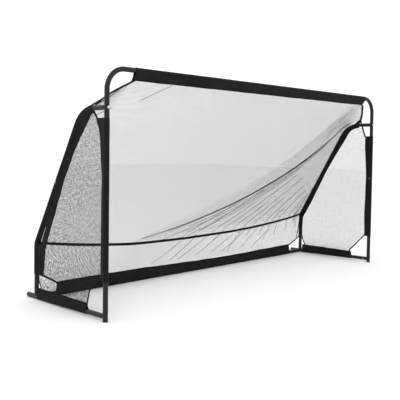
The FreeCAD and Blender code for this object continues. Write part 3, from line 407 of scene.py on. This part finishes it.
def sleeve(name, line, flap, reach, node, seed, slack=2.2, wrinkle=0.0012, wave=0.003,
           shear=(0, 0), slit=None):
    """Cloth cover on a tube: line is the tube's axis, flap the flap's direction and reach its width."""
    ahead = directions(line)
    flap = np.broadcast_to(np.array(flap, float), line.shape)
    side = np.cross(ahead, flap)
    side /= np.linalg.norm(side, axis=1)[:, None]
    run = lengths_along(line)
    verts, widths = [], []
    radius = SLEEVE_R
    for i in range(len(line)):
        half = sleeve_outline(radius, reach[i], slack)
        outline = half + [(a, -b) for a, b in reversed(half[1:-1])]
        tip = (half[-1][0] + FLAP_TIP, 0.0)
        outline.insert(len(half), tip)
        low_share = max(0.0, 1 - run[i] / LEAN_LENGTH)
        high_share = max(0.0, 1 - (run[-1] - run[i]) / LEAN_LENGTH)
        for a, b in outline:
            depth = max(0.0, (a - radius * 0.8) / max(reach[i] - radius * 0.8, 1e-6))
            base = line[i] + flap[i] * a + side[i] * b
            spot = Vector((run[i] * 7 + seed, a * 30, b * 30))
            fold = noise.noise(spot) * wrinkle * (0.35 + depth)
            outwards = flap[i] * a + side[i] * b
            size = np.linalg.norm(outwards)
            grow = max(fold, -0.0004 if depth == 0 else -wrinkle)
            base = base + outwards / max(size, 1e-6) * (grow if depth < 1 else 0)
            ripple = noise.noise(Vector((run[i] * 4.5 + seed * 3, depth * 1.5, 0)))
            base = base + side[i] * ripple * wave * depth**1.5
            base = base + flap[i] * noise.noise(Vector((run[i] * 6 + seed, 9, 9))) * 0.003 * depth
            base = base + ahead[i] * depth * (shear[0] * low_share + shear[1] * high_share)
            verts.append(base)
        ring = np.array(outline)
        widths.append(np.linalg.norm(ring - np.roll(ring, 1, axis=0), axis=1).sum())
    count = len(outline)
    faces = ring_faces(len(line), count)
    if slit:
        first, last, strips = slit
        holes = {i * count + j for i in range(first, last) for k in strips for j in (k, count - 1 - k)}
        faces = [face for face in faces if face[0] not in holes]
    faces = [face for face in faces if not over_a_button([verts[k] for k in face])]
    piece = add_piece(name, verts, faces, "sleeve_fabric", (node,))
    cloth = piece.modifiers.new("cloth", "SOLIDIFY")
    cloth.thickness, cloth.offset = CLOTH, -1
    return piece


def flap_width(heights, sign):
    """Width of the stanchion sleeve's flap by height: wide on the left, folded back narrow on the right."""
    if sign < 0:
        levels = [0.21, 0.40, 0.51, 0.67, 0.87, 1.07, 1.22, 1.30, 1.36, 1.412, 1.45, 1.479, 1.5155, 1.5296]
        widths = [0.105, 0.131, 0.125, 0.106, 0.087, 0.069, 0.070, 0.076, 0.084, 0.095, 0.098, 0.096, 0.079, 0.041]
    else:
        levels = [0.21, 0.40, 0.51, 0.64, 1.00, 1.20, 1.36, 1.42, 1.47, 1.53]
        widths = [0.027, 0.031, 0.046, 0.048, 0.032, 0.038, 0.052, 0.054, 0.044, 0.032]
    return np.interp(heights, levels, widths)


TOP_REACH = {"left": span("upright_sleeve_left", 1)[1] - FRONT, "right": 0.074}     # flap's width at the top


def upright_sleeve_top(name):
    """The right upright's sleeve has slipped down a little."""
    return span(f"upright_sleeve_{name}", 2)[1] - (0.052 if name == "right" else 0)


def build_sleeves():
    bar_left, bar_right = span("crossbar_sleeve", 0)
    line = straight((bar_left + 0.03, FRONT, BAR), (bar_right + 0.055, FRONT, BAR), 0.016)
    drop = BAR - span("crossbar_sleeve", 2)[0]
    sleeve("crossbar_cover", line, (0, 0, -1), np.full(len(line), drop), "crossbar_sleeve",
           3.1, slack=1.3, wrinkle=0.0018, shear=(-0.03, -0.045))
    low, high = span("rear_ground_sleeve", 0)
    line = straight((low - 0.02, REAR, REAR_LOW), (high - 0.02, REAR, REAR_LOW), 0.016)
    base = span("rear_ground_sleeve", 2)[1] - REAR_LOW
    lift = base + 0.010 * np.cos((line[:, 0] - 0.4) / (high - low) * math.tau + math.pi)
    sleeve("rear_ground_cover", line, (0, 0, 1), lift, "rear_ground_sleeve",
           8.7, slack=1.6, wrinkle=0.0016, wave=0.006)
    for name, sign in SIDES:
        x = sign * HALF
        low, high = span(f"upright_sleeve_{name}", 2)[0], upright_sleeve_top(name)
        line = straight((x, FRONT, low), (x, FRONT, high), 0.015)
        reach = np.interp(line[:, 2], [low, low + 0.25, high - 0.42, high - 0.13, high],
                          [0.056, 0.062, 0.052, 0.074, TOP_REACH[name]])
        sleeve(f"upright_cover_{name}", line, (0, 1, 0), reach, f"upright_sleeve_{name}",
               5.0 + sign, slack=1.6)
        front, rear = span(f"side_ground_sleeve_{name}", 1)
        line = straight((x, front - 0.012, ground_height(front - 0.012)),
                        (x, rear + 0.035, ground_height(rear + 0.035)), 0.014)
        top = span(f"side_ground_sleeve_{name}", 2)[1]
        reach = top - line[:, 2]
        sleeve(f"side_ground_cover_{name}", line, (0, 0, 1), reach, f"side_ground_sleeve_{name}",
               11.0 + sign, slack=1.6)
        low = span(f"stanchion_sleeve_{name}", 2)[0]
        arm_front = span(f"stanchion_sleeve_{name}", 1)[0] + (0.030 if name == "right" else 0)
        axis = stanchion_line(low, arm_front, 0.014)
        line = np.column_stack([np.full(len(axis), x), axis])
        ahead = directions(line)
        flap = np.column_stack([np.zeros(len(line)), -ahead[:, 2], ahead[:, 1]])
        reach = flap_width(line[:, 2], sign)
        slit = None
        if sign < 0:
            start, end = np.searchsorted(lengths_along(line), (0.26, 0.44))
            slit = (int(start), int(end), (RING_POINTS // 2, RING_POINTS // 2 + 1))
        sleeve(f"stanchion_cover_{name}", line, flap, reach, f"stanchion_sleeve_{name}",
               17.0 + sign, slack=2.6, slit=slit)


# ---------------------------------------------------------------- nets
PITCH = 0.009             # mesh opening from thread to thread
THREAD = 0.00150          # side of a thread's three-sided section
NET_HALF = HALF - SLEEVE_R - 0.004
rng = np.random.default_rng(11)


def thread_prisms(lines, normals, thickness=1.0):
    """Three-sided threads along polylines; lines and normals are (threads, points, 3)."""
    ahead = np.gradient(lines, axis=1)
    ahead /= np.linalg.norm(ahead, axis=2, keepdims=True)
    across = np.cross(ahead, normals)
    across /= np.linalg.norm(across, axis=2, keepdims=True)
    up = np.cross(across, ahead)
    radius = np.asarray(thickness)[..., None] * THREAD / math.sqrt(3)
    corners = [lines + radius * (math.cos(a) * up + math.sin(a) * across)
               for a in (math.pi / 2, math.pi * 7 / 6, math.pi * 11 / 6)]
    verts = np.stack(corners, axis=2)                       # threads, points, 3 corners, xyz
    threads, points = lines.shape[:2]
    ids = np.arange(threads * points * 3).reshape(threads, points, 3)
    quads = []
    for k in range(3):
        m = (k + 1) % 3
        quads.append(np.stack([ids[:, :-1, k], ids[:, :-1, m], ids[:, 1:, m], ids[:, 1:, k]], axis=-1))
    quads = np.stack(quads, axis=2).reshape(-1, 4)
    along = np.linspace(0, 1, points)
    uv = np.empty((threads, points - 1, 3, 4, 2))
    for k in range(3):
        uv[:, :, k, :, 0] = np.stack([along[:-1], along[:-1], along[1:], along[1:]], axis=-1)
        uv[:, :, k, :, 1] = np.array([k, k + 1, k + 1, k]) / 3
    return verts.reshape(-1, 3), quads, uv.reshape(-1, 2)


def net_piece(name, grid, normals, mask=None, thickness=None, replaces=()):
    """Threads along both directions of a grid of knots; mask keeps the knots inside the panel's outline."""
    groups = []
    mask = np.ones(grid.shape[:2], bool) if mask is None else mask
    thickness = np.ones(grid.shape[:2]) if thickness is None else thickness
    for points, faces, keep, thick in ((grid, normals, mask, thickness),
                                       (grid.transpose(1, 0, 2), normals.transpose(1, 0, 2), mask.T, thickness.T)):
        if keep.all():
            groups.append(thread_prisms(points, faces, thick))
            continue
        for i in range(points.shape[0]):
            inside = np.flatnonzero(keep[i])
            if len(inside) >= 2:
                part = slice(i, i + 1), slice(inside[0], inside[-1] + 1)
                groups.append(thread_prisms(points[part], faces[part], thick[part]))
    return net_mesh_object(name, groups, replaces)


def net_mesh_object(name, groups, replaces=()):
    """One piece from several groups of threads."""
    offset, verts, quads, uvs = 0, [], [], []
    for v, q, uv in groups:
        verts.append(v)
        quads.append(q + offset)
        uvs.append(uv)
        offset += len(v)
    verts, quads, uvs = np.concatenate(verts), np.concatenate(quads), np.concatenate(uvs)
    mesh = bpy.data.meshes.new(name)
    mesh.vertices.add(len(verts))
    mesh.vertices.foreach_set("co", verts.astype(np.float32).ravel())
    mesh.loops.add(quads.size)
    mesh.loops.foreach_set("vertex_index", quads.astype(np.int32).ravel())
    mesh.polygons.add(len(quads))
    mesh.polygons.foreach_set("loop_start", (np.arange(len(quads)) * 4).astype(np.int32))
    layer = mesh.uv_layers.new(name="OFBake")
    layer.data.foreach_set("uv", uvs.astype(np.float32).ravel())
    mesh.update(calc_edges=True)
    mesh.validate()
    mesh.materials.append(MATERIALS["net_mesh"])
    obj = bpy.data.objects.new(name, mesh)
    bpy.context.scene.collection.objects.link(obj)
    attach(obj, BODY)
    if replaces:
        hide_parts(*replaces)
    return obj


BAR_LOW = span("crossbar_sleeve", 2)[0]
REAR_HIGH = span("rear_ground_sleeve", 2)[1]
TOP_END = span("crossbar_sleeve", 0)[1] / NET_HALF        # share of the half width that each sleeve reaches
LOW_END = span("rear_ground_sleeve", 0)[1] / NET_HALF
CORNER_LOW = 0.195                                        # height where the net leaves the rear posts
CORNER_TOP = {"left": (FRONT + 0.165, ARM + 0.022), "right": (FRONT + 0.130, ARM + 0.052)}  # and the shoulder
SIDE_LINE = stanchion_line(CORNER_LOW, FRONT + 0.155, 0.02)[::-1]
SIDE_RUN = lengths_along(SIDE_LINE)
NET_LENGTH = 1.9


MAIN_CREASE = ((1.77, 0.055), (0.85, 0.67), (-0.98, 0.835))     # start, bend and end as (x, run)
CREASE_SHARE = 0.10       # how much of the step from the middle to the stanchion is taken at the crease
CREASE_WIDTH = 0.05
CREASE_LEAD = 0.45        # how far in front of the crease the surface starts to turn


def curve_points(start, bend, end, t):
    start, bend, end = np.array(start), np.array(bend), np.array(end)
    return start * (1 - t)**2 + bend * 2 * t * (1 - t) + end * t**2


CREASE_LINE = curve_points(*MAIN_CREASE, np.linspace(1, 0, 80)[:, None])


def side_share(x, run):
    """How far the surface has come from the middle's slant to the stanchion's slope."""
    left = np.where(x < 0, np.clip(np.abs(x) / NET_HALF, 0, 1) ** 3.2, 0)
    below = (run - np.interp(x, CREASE_LINE[:, 0], CREASE_LINE[:, 1])) * NET_LENGTH
    step = np.clip(0.5 + below / CREASE_WIDTH, 0, 1)
    step = step * step * (3 - 2 * step) * np.clip((x + 0.98) / 0.9, 0, 1)
    from_crease = np.interp(run, CREASE_LINE[::-1, 1], CREASE_LINE[::-1, 0]) - CREASE_LEAD
    ramp_share = np.clip((x - from_crease) / (NET_HALF - from_crease), 0, 1)
    return np.maximum(left, CREASE_SHARE * step + (1 - CREASE_SHARE) * ramp_share)


def back_point(x, run):
    """The back net's surface: x across, run from 0 at the crossbar to 1 at the rear ground tube."""
    share = np.abs(x) / NET_HALF
    blend = side_share(x, run)
    side_y = np.interp(run * SIDE_RUN[-1], SIDE_RUN, SIDE_LINE[:, 0])
    side_z = np.interp(run * SIDE_RUN[-1], SIDE_RUN, SIDE_LINE[:, 1])
    top, low = (FRONT, BAR_LOW), (REAR, REAR_HIGH)
    y = (top[0] + (low[0] - top[0]) * run) * (1 - blend) + side_y * blend
    z = (top[1] + (low[1] - top[1]) * run) * (1 - blend) + side_z * blend
    edge = np.clip((share - TOP_END) / (1 - TOP_END), 0, 1)
    start_y = top[0] * (1 - blend) + SIDE_LINE[0, 0] * blend
    start_z = top[1] * (1 - blend) + SIDE_LINE[0, 1] * blend
    pull = np.clip(1 - run / 0.22, 0, 1) ** 2
    corner_y, corner_z = (np.where(x < 0, CORNER_TOP["left"][k], CORNER_TOP["right"][k]) for k in (0, 1))
    y = y + (top[0] + (corner_y - top[0]) * edge - start_y) * pull
    z = z + (top[1] + (corner_z - top[1]) * edge - start_z) * pull
    edge = np.clip((share - LOW_END) / (1 - LOW_END), 0, 1)
    end_y = low[0] * (1 - blend) + SIDE_LINE[-1, 0] * blend
    end_z = low[1] * (1 - blend) + SIDE_LINE[-1, 1] * blend
    pull = np.clip(1 - (1 - run) / 0.12, 0, 1) ** 2
    y = y + (low[0] - end_y) * pull
    z = z + (low[1] + (CORNER_LOW - low[1]) * edge - end_z) * pull
    return np.stack([x, y, z], axis=-1)


def crease(start, bend, end, width, yarns, shares=(0, 1)):
    """A tension crease in (x, run): a curve from start to end drawn towards bend, with its pull and bunched yarns."""
    return curve_points(start, bend, end, np.linspace(*shares, 70)[:, None]), width, yarns


def crease_list():
    """The creases that fan out from the right shoulder, and a few short ones near the top corners."""
    creases = [crease(*MAIN_CREASE, 0.010, 3)]
    for index in range(5):                       # strands beside the main crease
        drop = 0.012 + 0.016 * index
        share = 0.12 + 0.1 * rng.random()
        creases.append(crease((1.77, 0.06 + drop * 0.4), (0.83, 0.665 + drop * 1.1),
                              (-0.95 + 0.1 * index, 0.84 + drop), 0.006, 1, (share, 0.80 + 0.2 * rng.random())))
    for index in range(11):                      # the fan between the main crease and the stanchion
        share = (index + 0.6 * rng.random()) / 11
        start = np.array((1.775, 0.085 + 0.50 * share**1.2))
        end = np.array((-0.72 + 2.30 * share**0.9, 0.993))
        bend = (start + end) / 2 + np.array((-0.10 + 0.12 * rng.random(), 0.075 - 0.05 * share))
        first = 0.16 + 0.40 * rng.random()
        creases.append(crease(start, bend, end, 0.006, 1, (first, 0.86 + 0.14 * rng.random())))
    for index in range(8):                       # short folds between the band and the rear sleeve
        x = -0.28 + 0.21 * index + 0.06 * rng.random()
        end = np.array((x - 0.30 - 0.1 * rng.random(), 0.985))
        creases.append(crease((x, 0.87 + 0.03 * rng.random()), ((x + end[0]) / 2, 0.945), end, 0.006, 1))
    creases.append(crease((-1.17, 0.004), (-1.26, 0.03), (-1.42, 0.085), 0.010, 1))
    creases.append(crease((-1.58, 0.10), (-1.66, 0.12), (-1.77, 0.13), 0.010, 1))
    creases.append(crease((1.74, 0.05), (1.55, 0.10), (1.30, 0.19), 0.010, 1))
    creases.append(crease((1.50, 0.01), (1.47, 0.06), (1.40, 0.13), 0.008, 1))
    for index in range(4):                       # crumples beside the right knee
        creases.append(crease((1.77, 0.60 + 0.07 * index), (1.70, 0.70 + 0.06 * index), (1.64 + 0.02 * index, 0.93),
                              0.010, 1))
    return creases


CREASES = crease_list()


def draw_creases(x, run):
    """Pull knots gently towards each crease; returns x, run and how far they stand out."""
    lift = np.zeros_like(x)
    down = run * NET_LENGTH
    for curve, width, _ in CREASES:
        path = curve * np.array([1, NET_LENGTH])
        near = (x > path[:, 0].min() - 3 * width) & (x < path[:, 0].max() + 3 * width)
        near &= (down > path[:, 1].min() - 3 * width) & (down < path[:, 1].max() + 3 * width)
        spots = np.stack([x[near], down[near]], axis=-1)
        gaps = spots[:, None] - path[None]
        closest = np.argmin((gaps ** 2).sum(axis=2), axis=1)
        gap = gaps[np.arange(len(spots)), closest]
        place = closest / (len(path) - 1)
        fade = np.clip(place / 0.1, 0, 1) * np.clip((1 - place) / 0.2, 0, 1)
        fade = fade * np.clip((NET_HALF - np.abs(spots[:, 0])) / 0.04, 0, 1)
        bell = np.exp(-(gap ** 2).sum(axis=1) / width**2) * fade
        x[near] -= gap[:, 0] * bell * 0.06
        down[near] -= gap[:, 1] * bell * 0.06
        lift[near] += bell * width * 0.1
    return x, down / NET_LENGTH, lift


def build_pleats():
    """Yarns bunched side by side in each crease, tapering in from both ends."""
    groups = []
    for curve, width, yarns in CREASES:
        base = back_point(curve[:, 0], np.clip(curve[:, 1], 0.002, 0.998))
        ahead = directions(base)
        for yarn in range(yarns):
            cut = int(rng.random() * 9)
            line = base[cut:len(base) - int(rng.random() * 12)]
            facing = np.cross(ahead, (1.0, 0.2, 0.1))
            facing /= np.linalg.norm(facing, axis=1)[:, None]
            facing = facing[cut:cut + len(line)]
            beside = np.cross(ahead[cut:cut + len(line)], facing)
            shift = (yarn - (yarns - 1) / 2) * 0.0027
            wander = np.array([noise.noise(Vector((p[0] * 6, p[2] * 6, yarn + 3.0))) for p in line]) * 0.0016
            line = line + facing * (0.004 + width * 0.3) * -1 + beside * (shift + wander)[:, None]
            groups.append(thread_prisms(line[None], facing[None], 3.0 if yarns > 1 else 2.6))
    return net_mesh_object("net_pleats", groups)


def grid_normals(grid):
    down = np.gradient(grid, axis=0)
    across = np.gradient(grid, axis=1)
    normal = np.cross(across, down)
    return normal / np.maximum(np.linalg.norm(normal, axis=2, keepdims=True), 1e-9)


def build_back_net(sewn_on):
    columns = int(round(2 * NET_HALF / PITCH))
    rows = int(round(NET_LENGTH / PITCH))
    x, run = np.meshgrid(np.linspace(-NET_HALF, NET_HALF, columns + 1), np.linspace(0, 1, rows + 1))
    x, run, lift = draw_creases(x, run)
    grid = back_point(x, run)
    normals = grid_normals(grid)
    grid = grid + normals * (lift * -1)[..., None]
    sewn_on = sewn_on + [build_pleats()]
    parts = 4
    edges = np.linspace(0, columns, parts + 1).astype(int)
    for index, (a, b) in enumerate(zip(edges, edges[1:])):
        piece = net_piece(f"back_net_{'abcd'[index]}", grid[:, a:b + 1], normals[:, a:b + 1],
                          replaces=("back_net",) if index == 0 else ())


FRONT_CUT = {"left": [(0.052, 0.315), (0.140, 0.235), (0.190, 0.200), (0.208, 0.145), (0.224, 0.084)],
             "right": [(0.048, 0.305), (0.139, 0.213), (0.195, 0.155), (0.238, 0.112), (0.243, 0.080)]}
REAR_CUT = [(0.898, 0.205), (0.897, 0.168), (0.858, 0.092)]     # both as (behind the front plane, height)


ARCH_BINDING = {"left": [(0.165, -0.014), (0.140, -0.042), (0.117, -0.072), (0.100, -0.120)],
                "right": [(0.118, -0.010), (0.110, -0.035), (0.098, -0.070), (0.074, -0.133)]}
ARCH_POINT = {"left": (0.172, -0.041), "right": (0.190, -0.024)}     # as (behind the front plane, above the arm's axis)


def side_outline(name, sign):
    """The side net's outline as (y, z), in order round the panel."""
    high = upright_sleeve_top(name)
    point = (FRONT + ARCH_POINT[name][0], ARM + ARCH_POINT[name][1])
    axis = stanchion_line(0.215, FRONT + 0.17, 0.03)
    line = np.column_stack([np.zeros(len(axis)), axis])
    ahead = directions(line)
    reach = flap_width(axis[:, 1], sign) - 0.005
    inner = axis + np.column_stack([-ahead[:, 2], ahead[:, 1]]) * reach[:, None]
    inner = [tuple(p) for p in inner if p[1] < point[1] and p[0] > point[0]]
    lower = [(FRONT + back, height) for back, height in reversed(FRONT_CUT[name])]
    upper = [(FRONT + 0.050, high - 0.40), (FRONT + 0.072, high - 0.13)]
    upper += [(FRONT + back, ARM + min(height, -0.024)) for back, height in reversed(ARCH_BINDING[name])] + [point]
    rear = [(FRONT + back, height) for back, height in REAR_CUT]
    return lower + upper + inner[::-1] + rear


def inside_outline(y, z, outline):
    """Even-odd test for points against a closed outline."""
    inside = np.zeros(y.shape, bool)
    for (y1, z1), (y2, z2) in zip(outline, outline[1:] + outline[:1]):
        crosses = (z1 > z) != (z2 > z)
        with np.errstate(divide="ignore", invalid="ignore"):
            at = (y2 - y1) * (z - z1) / (z2 - z1) + y1
        inside ^= crosses & (y < at)
    return inside


GATHERED = {"left": 0.60, "right": 0.12}         # height over which the rows close up towards the bottom
UNEVEN = {"left": 0.9, "right": 0.3}


def build_side_nets():
    for name, sign in SIDES:
        outline = side_outline(name, sign)
        ys, zs = zip(*outline)
        width, height = max(ys) - min(ys), max(zs) - min(zs)
        levels = [min(zs)]
        while levels[-1] < max(zs):
            slack = max(0.0, 1 - (levels[-1] - min(zs)) / GATHERED[name])
            levels.append(levels[-1] + PITCH * (1 - 0.55 * slack))
        y, z = np.meshgrid(np.arange(min(ys), max(ys) + PITCH, PITCH), levels)
        mask = inside_outline(y, z, outline)
        sag = 0.006 * np.sin(np.clip((y - min(ys)) / width, 0, 1) * math.pi)
        waves = np.array([[noise.noise(Vector((a * 5, b * 3, sign * 2.0))) for a, b in zip(ra, rb)]
                          for ra, rb in zip(y, z)])
        grid = np.stack([sign * (HALF - sag) + waves * 0.003, y, z], axis=-1)
        normals = np.zeros_like(grid)
        normals[..., 0] = 1
        uneven = np.array([[noise.noise(Vector((a * 45, b * 45, sign * 7.0))) for a, b in zip(ra, rb)]
                           for ra, rb in zip(y, z)])
        piece = net_piece(f"side_net_mesh_{name}", grid, normals, mask, 1 + UNEVEN[name] * uneven,
                          (f"side_net_{name}",))


# ---------------------------------------------------------------- bindings, patches, band and eyelets
def tape(name, points, normal, width=0.016, thickness=0.003, step=0.012):
    return ribbon(name, catmull(points, step), normal, width, thickness, "binding")


TOP_BINDING = {"left": [(0.100, 0.075, 0.115), (0.012, 0.160, 0.024)],
               "right": [(0.090, 0.070, 0.112), (0.014, 0.128, 0.060), (0.006, 0.120, 0.022)]}
PATCH = {"left": [(0.002, 0.235, 0.012), (0.004, 0.148, 0.026), (0.085, 0.092, 0.100)],
         "right": [(0.002, 0.215, 0.014), (0.004, 0.120, 0.024), (0.020, 0.126, 0.072)]}
# both as (inwards from the upright's plane, behind the front plane, above the arm's axis)


def build_bindings():
    """Edge tapes and patches: the ones sewn to the back net, and the ones sewn to each side net."""
    back, beside = [], {}
    low_x = LOW_END * NET_HALF
    for name, sign in SIDES:
        x = sign * HALF
        bar_end = (sign * (TOP_END * NET_HALF) + (0.03 if sign < 0 else 0.02), FRONT, BAR_LOW + 0.004)
        shoulder = [(sign * (HALF - inwards), FRONT + behind, ARM + height)
                    for inwards, behind, height in TOP_BINDING[name]]
        back.append(tape(f"top_binding_{name}", [bar_end] + shoulder, (sign * 0.6, -0.3, 0.75), 0.025))
        back.append(tape(f"back_cut_binding_{name}", [(sign * NET_HALF, REAR - 0.002, CORNER_LOW + 0.006),
                                                      (sign * (low_x + 0.09), REAR - 0.004, 0.150),
                                                      (sign * low_x - 0.02, REAR, REAR_HIGH - 0.002)],
                         (0, 1, 0), 0.016))
        back.append(build_shoulder_patch(name, sign))
        beside[name] = [tape(f"arch_binding_{name}",
                             [(x, FRONT + behind, ARM + height) for behind, height in ARCH_BINDING[name]],
                             (1, 0, 0), 0.018)]
        for place, points in (("front", FRONT_CUT[name]), ("rear", REAR_CUT)):
            beside[name].append(tape(f"{place}_cut_binding_{name}",
                                     [(x, FRONT + back_off, height) for back_off, height in points],
                                     (1, 0, 0), 0.014))
    back.append(tape("loose_edge_binding", [(HALF - 0.024, REAR - 0.012, 0.440), (HALF - 0.052, REAR - 0.014, 0.370),
                                            (HALF - 0.066, REAR - 0.012, 0.280), (HALF - 0.090, REAR - 0.006, 0.192)],
                     (0, 1, 0), 0.012))
    return back, beside


def build_shoulder_patch(name, sign):
    """Doubled cloth triangle where the top binding meets the shoulder sleeve."""
    corners = [(sign * (HALF - inwards), FRONT + behind, ARM + height) for inwards, behind, height in PATCH[name]]
    points, verts, faces = 9, [], []
    a, b, c = (np.array(p) for p in corners)
    normal = np.cross(b - a, c - a)
    normal /= np.linalg.norm(normal)
    for layer in (-0.0012, 0.0012):
        for i in range(points):
            for j in range(points):
                u, v = i / (points - 1), j / (points - 1)
                spot = a + (b - a) * u * (1 - v) + (c - a) * v
                swell = noise.noise(Vector(tuple(spot * 25))) * 0.002
                verts.append(spot + normal * (layer + swell))
    for layer in range(2):
        base = layer * points * points
        for i in range(points - 1):
            for j in range(points - 1):
                k = base + i * points + j
                face = (k, k + 1, k + points + 1, k + points)
                faces.append(face if layer else tuple(reversed(face)))
    size = points * points
    rim = [i * points for i in range(points)]
    rim += [(points - 1) * points + j for j in range(1, points)]
    rim += [i * points + points - 1 for i in range(points - 2, -1, -1)]
    rim += list(range(points - 2, 0, -1))
    for k, m in zip(rim, rim[1:] + rim[:1]):
        faces.append((k, m, m + size, k + size))
    return add_piece(f"shoulder_patch_{name}", verts, faces, "sleeve_fabric")


def build_band():
    """Slack webbing behind the back net from knee to knee."""
    ends = span("knee_band", 0)
    low, high = span("knee_band", 2)
    xs = np.linspace(ends[0], ends[1], 180)
    share = xs / ends[1]
    heights = low + 0.010 + (high - low - 0.020) * np.abs(share) ** 2.3
    line = []
    for x, height in zip(xs, heights):
        runs = np.linspace(0, 1, 400)
        curve = back_point(np.full(400, x), runs)
        order = np.argsort(curve[:, 2])
        y = np.interp(height, curve[order, 2], curve[order, 1])
        line.append((x, y + 0.008, height + 0.002 * noise.noise(Vector((x * 3, 0, 0)))))
    line = np.array(line)
    band = ribbon("knee_webbing", line, (0, 1, 0.15), 0.025, 0.0022, "webbing", ("knee_band",))


def build_eyelets():
    """Rolled steel eyelets in the crossbar sleeve's corners."""
    for name, sign in SIDES:
        centre = np.array((sign * TOP_END * NET_HALF + (0.045 if sign < 0 else 0.01), FRONT - 0.0045, BAR - 0.046))
        verts, faces, around, across = [], [], 28, 10
        for i in range(around):
            angle = i / around * math.tau
            out = np.array((math.cos(angle), 0, math.sin(angle)))
            for j in range(across):
                tilt = j / across * math.tau
                flat = 0.0022 * math.cos(tilt), 0.0012 * math.sin(tilt)
                verts.append(centre + out * (0.0075 + flat[0]) + np.array((0, flat[1], 0)))
        for i in range(around):
            for j in range(across):
                n, m = (i + 1) % around, (j + 1) % across
                faces.append((i * across + j, i * across + m, n * across + m, n * across + j))
        add_piece(f"bar_eyelet_{name}", verts, faces, "bright_steel")


# ---------------------------------------------------------------- floor, light and camera
def build_stage():
    mesh = bpy.data.meshes.new("floor")
    size = 30
    mesh.from_pydata([(-size, -size, 0), (size, -size, 0), (size, size, 0), (-size, size, 0)], [], [(0, 1, 2, 3)])
    floor = bpy.data.objects.new("floor", mesh)
    bpy.context.scene.collection.objects.link(floor)
    material, _, shader = new_material("pale_floor", (0.93, 0.93, 0.93), 0.85)
    shader.inputs["Specular IOR Level"].default_value = 0.1
    mesh.materials.append(material)
    world = bpy.data.worlds.new("studio")
    bpy.context.scene.world = world
    world.use_nodes = True
    world.node_tree.nodes["Background"].inputs["Color"].default_value = (1, 1, 1, 1)
    world.node_tree.nodes["Background"].inputs["Strength"].default_value = 1.15
    for name, place, aim, power, size in (
            ("key", (-5.5, -4.0, 6.0), (0, 0, 0.8), 90, 3.0),
            ("fill", (4.0, -7.0, 4.0), (0, 0, 0.8), 30, 5.0),
            ("rim", (-3.0, 6.5, 5.0), (0, 0, 1.0), 40, 4.0)):
        light = bpy.data.lights.new(name, "AREA")
        light.energy, light.size = power, size
        lamp = bpy.data.objects.new(name, light)
        bpy.context.scene.collection.objects.link(lamp)
        lamp.location = place
        lamp.rotation_euler = (Vector(aim) - Vector(place)).to_track_quat("-Z", "Y").to_euler()


def build_camera():
    yaw, pitch, roll = math.radians(-45.129), math.radians(2.525), math.radians(0.804)
    ahead = Vector((-math.sin(yaw) * math.cos(pitch), math.cos(yaw) * math.cos(pitch), -math.sin(pitch)))
    level = Vector((math.cos(yaw), math.sin(yaw), 0))
    up = level.cross(ahead)
    right = level * math.cos(roll) + up * math.sin(roll)
    up = up * math.cos(roll) - level * math.sin(roll)
    data = bpy.data.cameras.new("camera")
    data.sensor_width, data.lens = 36.0, 57.1
    data.shift_y = -0.0625
    camera = bpy.data.objects.new("camera", data)
    bpy.context.scene.collection.objects.link(camera)
    turn = Matrix((right, up, -ahead)).transposed().to_4x4()
    camera.matrix_world = Matrix.Translation((-4.52, FRONT - 3.631, 1.259)) @ turn
    bpy.context.scene.camera = camera


dress_cad()
build_sleeves()
sewn_to_back, sewn_to_side = build_bindings()
build_back_net(sewn_to_back)
build_side_nets()
build_band()
build_eyelets()
build_stage()
build_camera()
bpy.context.scene.view_settings.view_transform = "Standard"
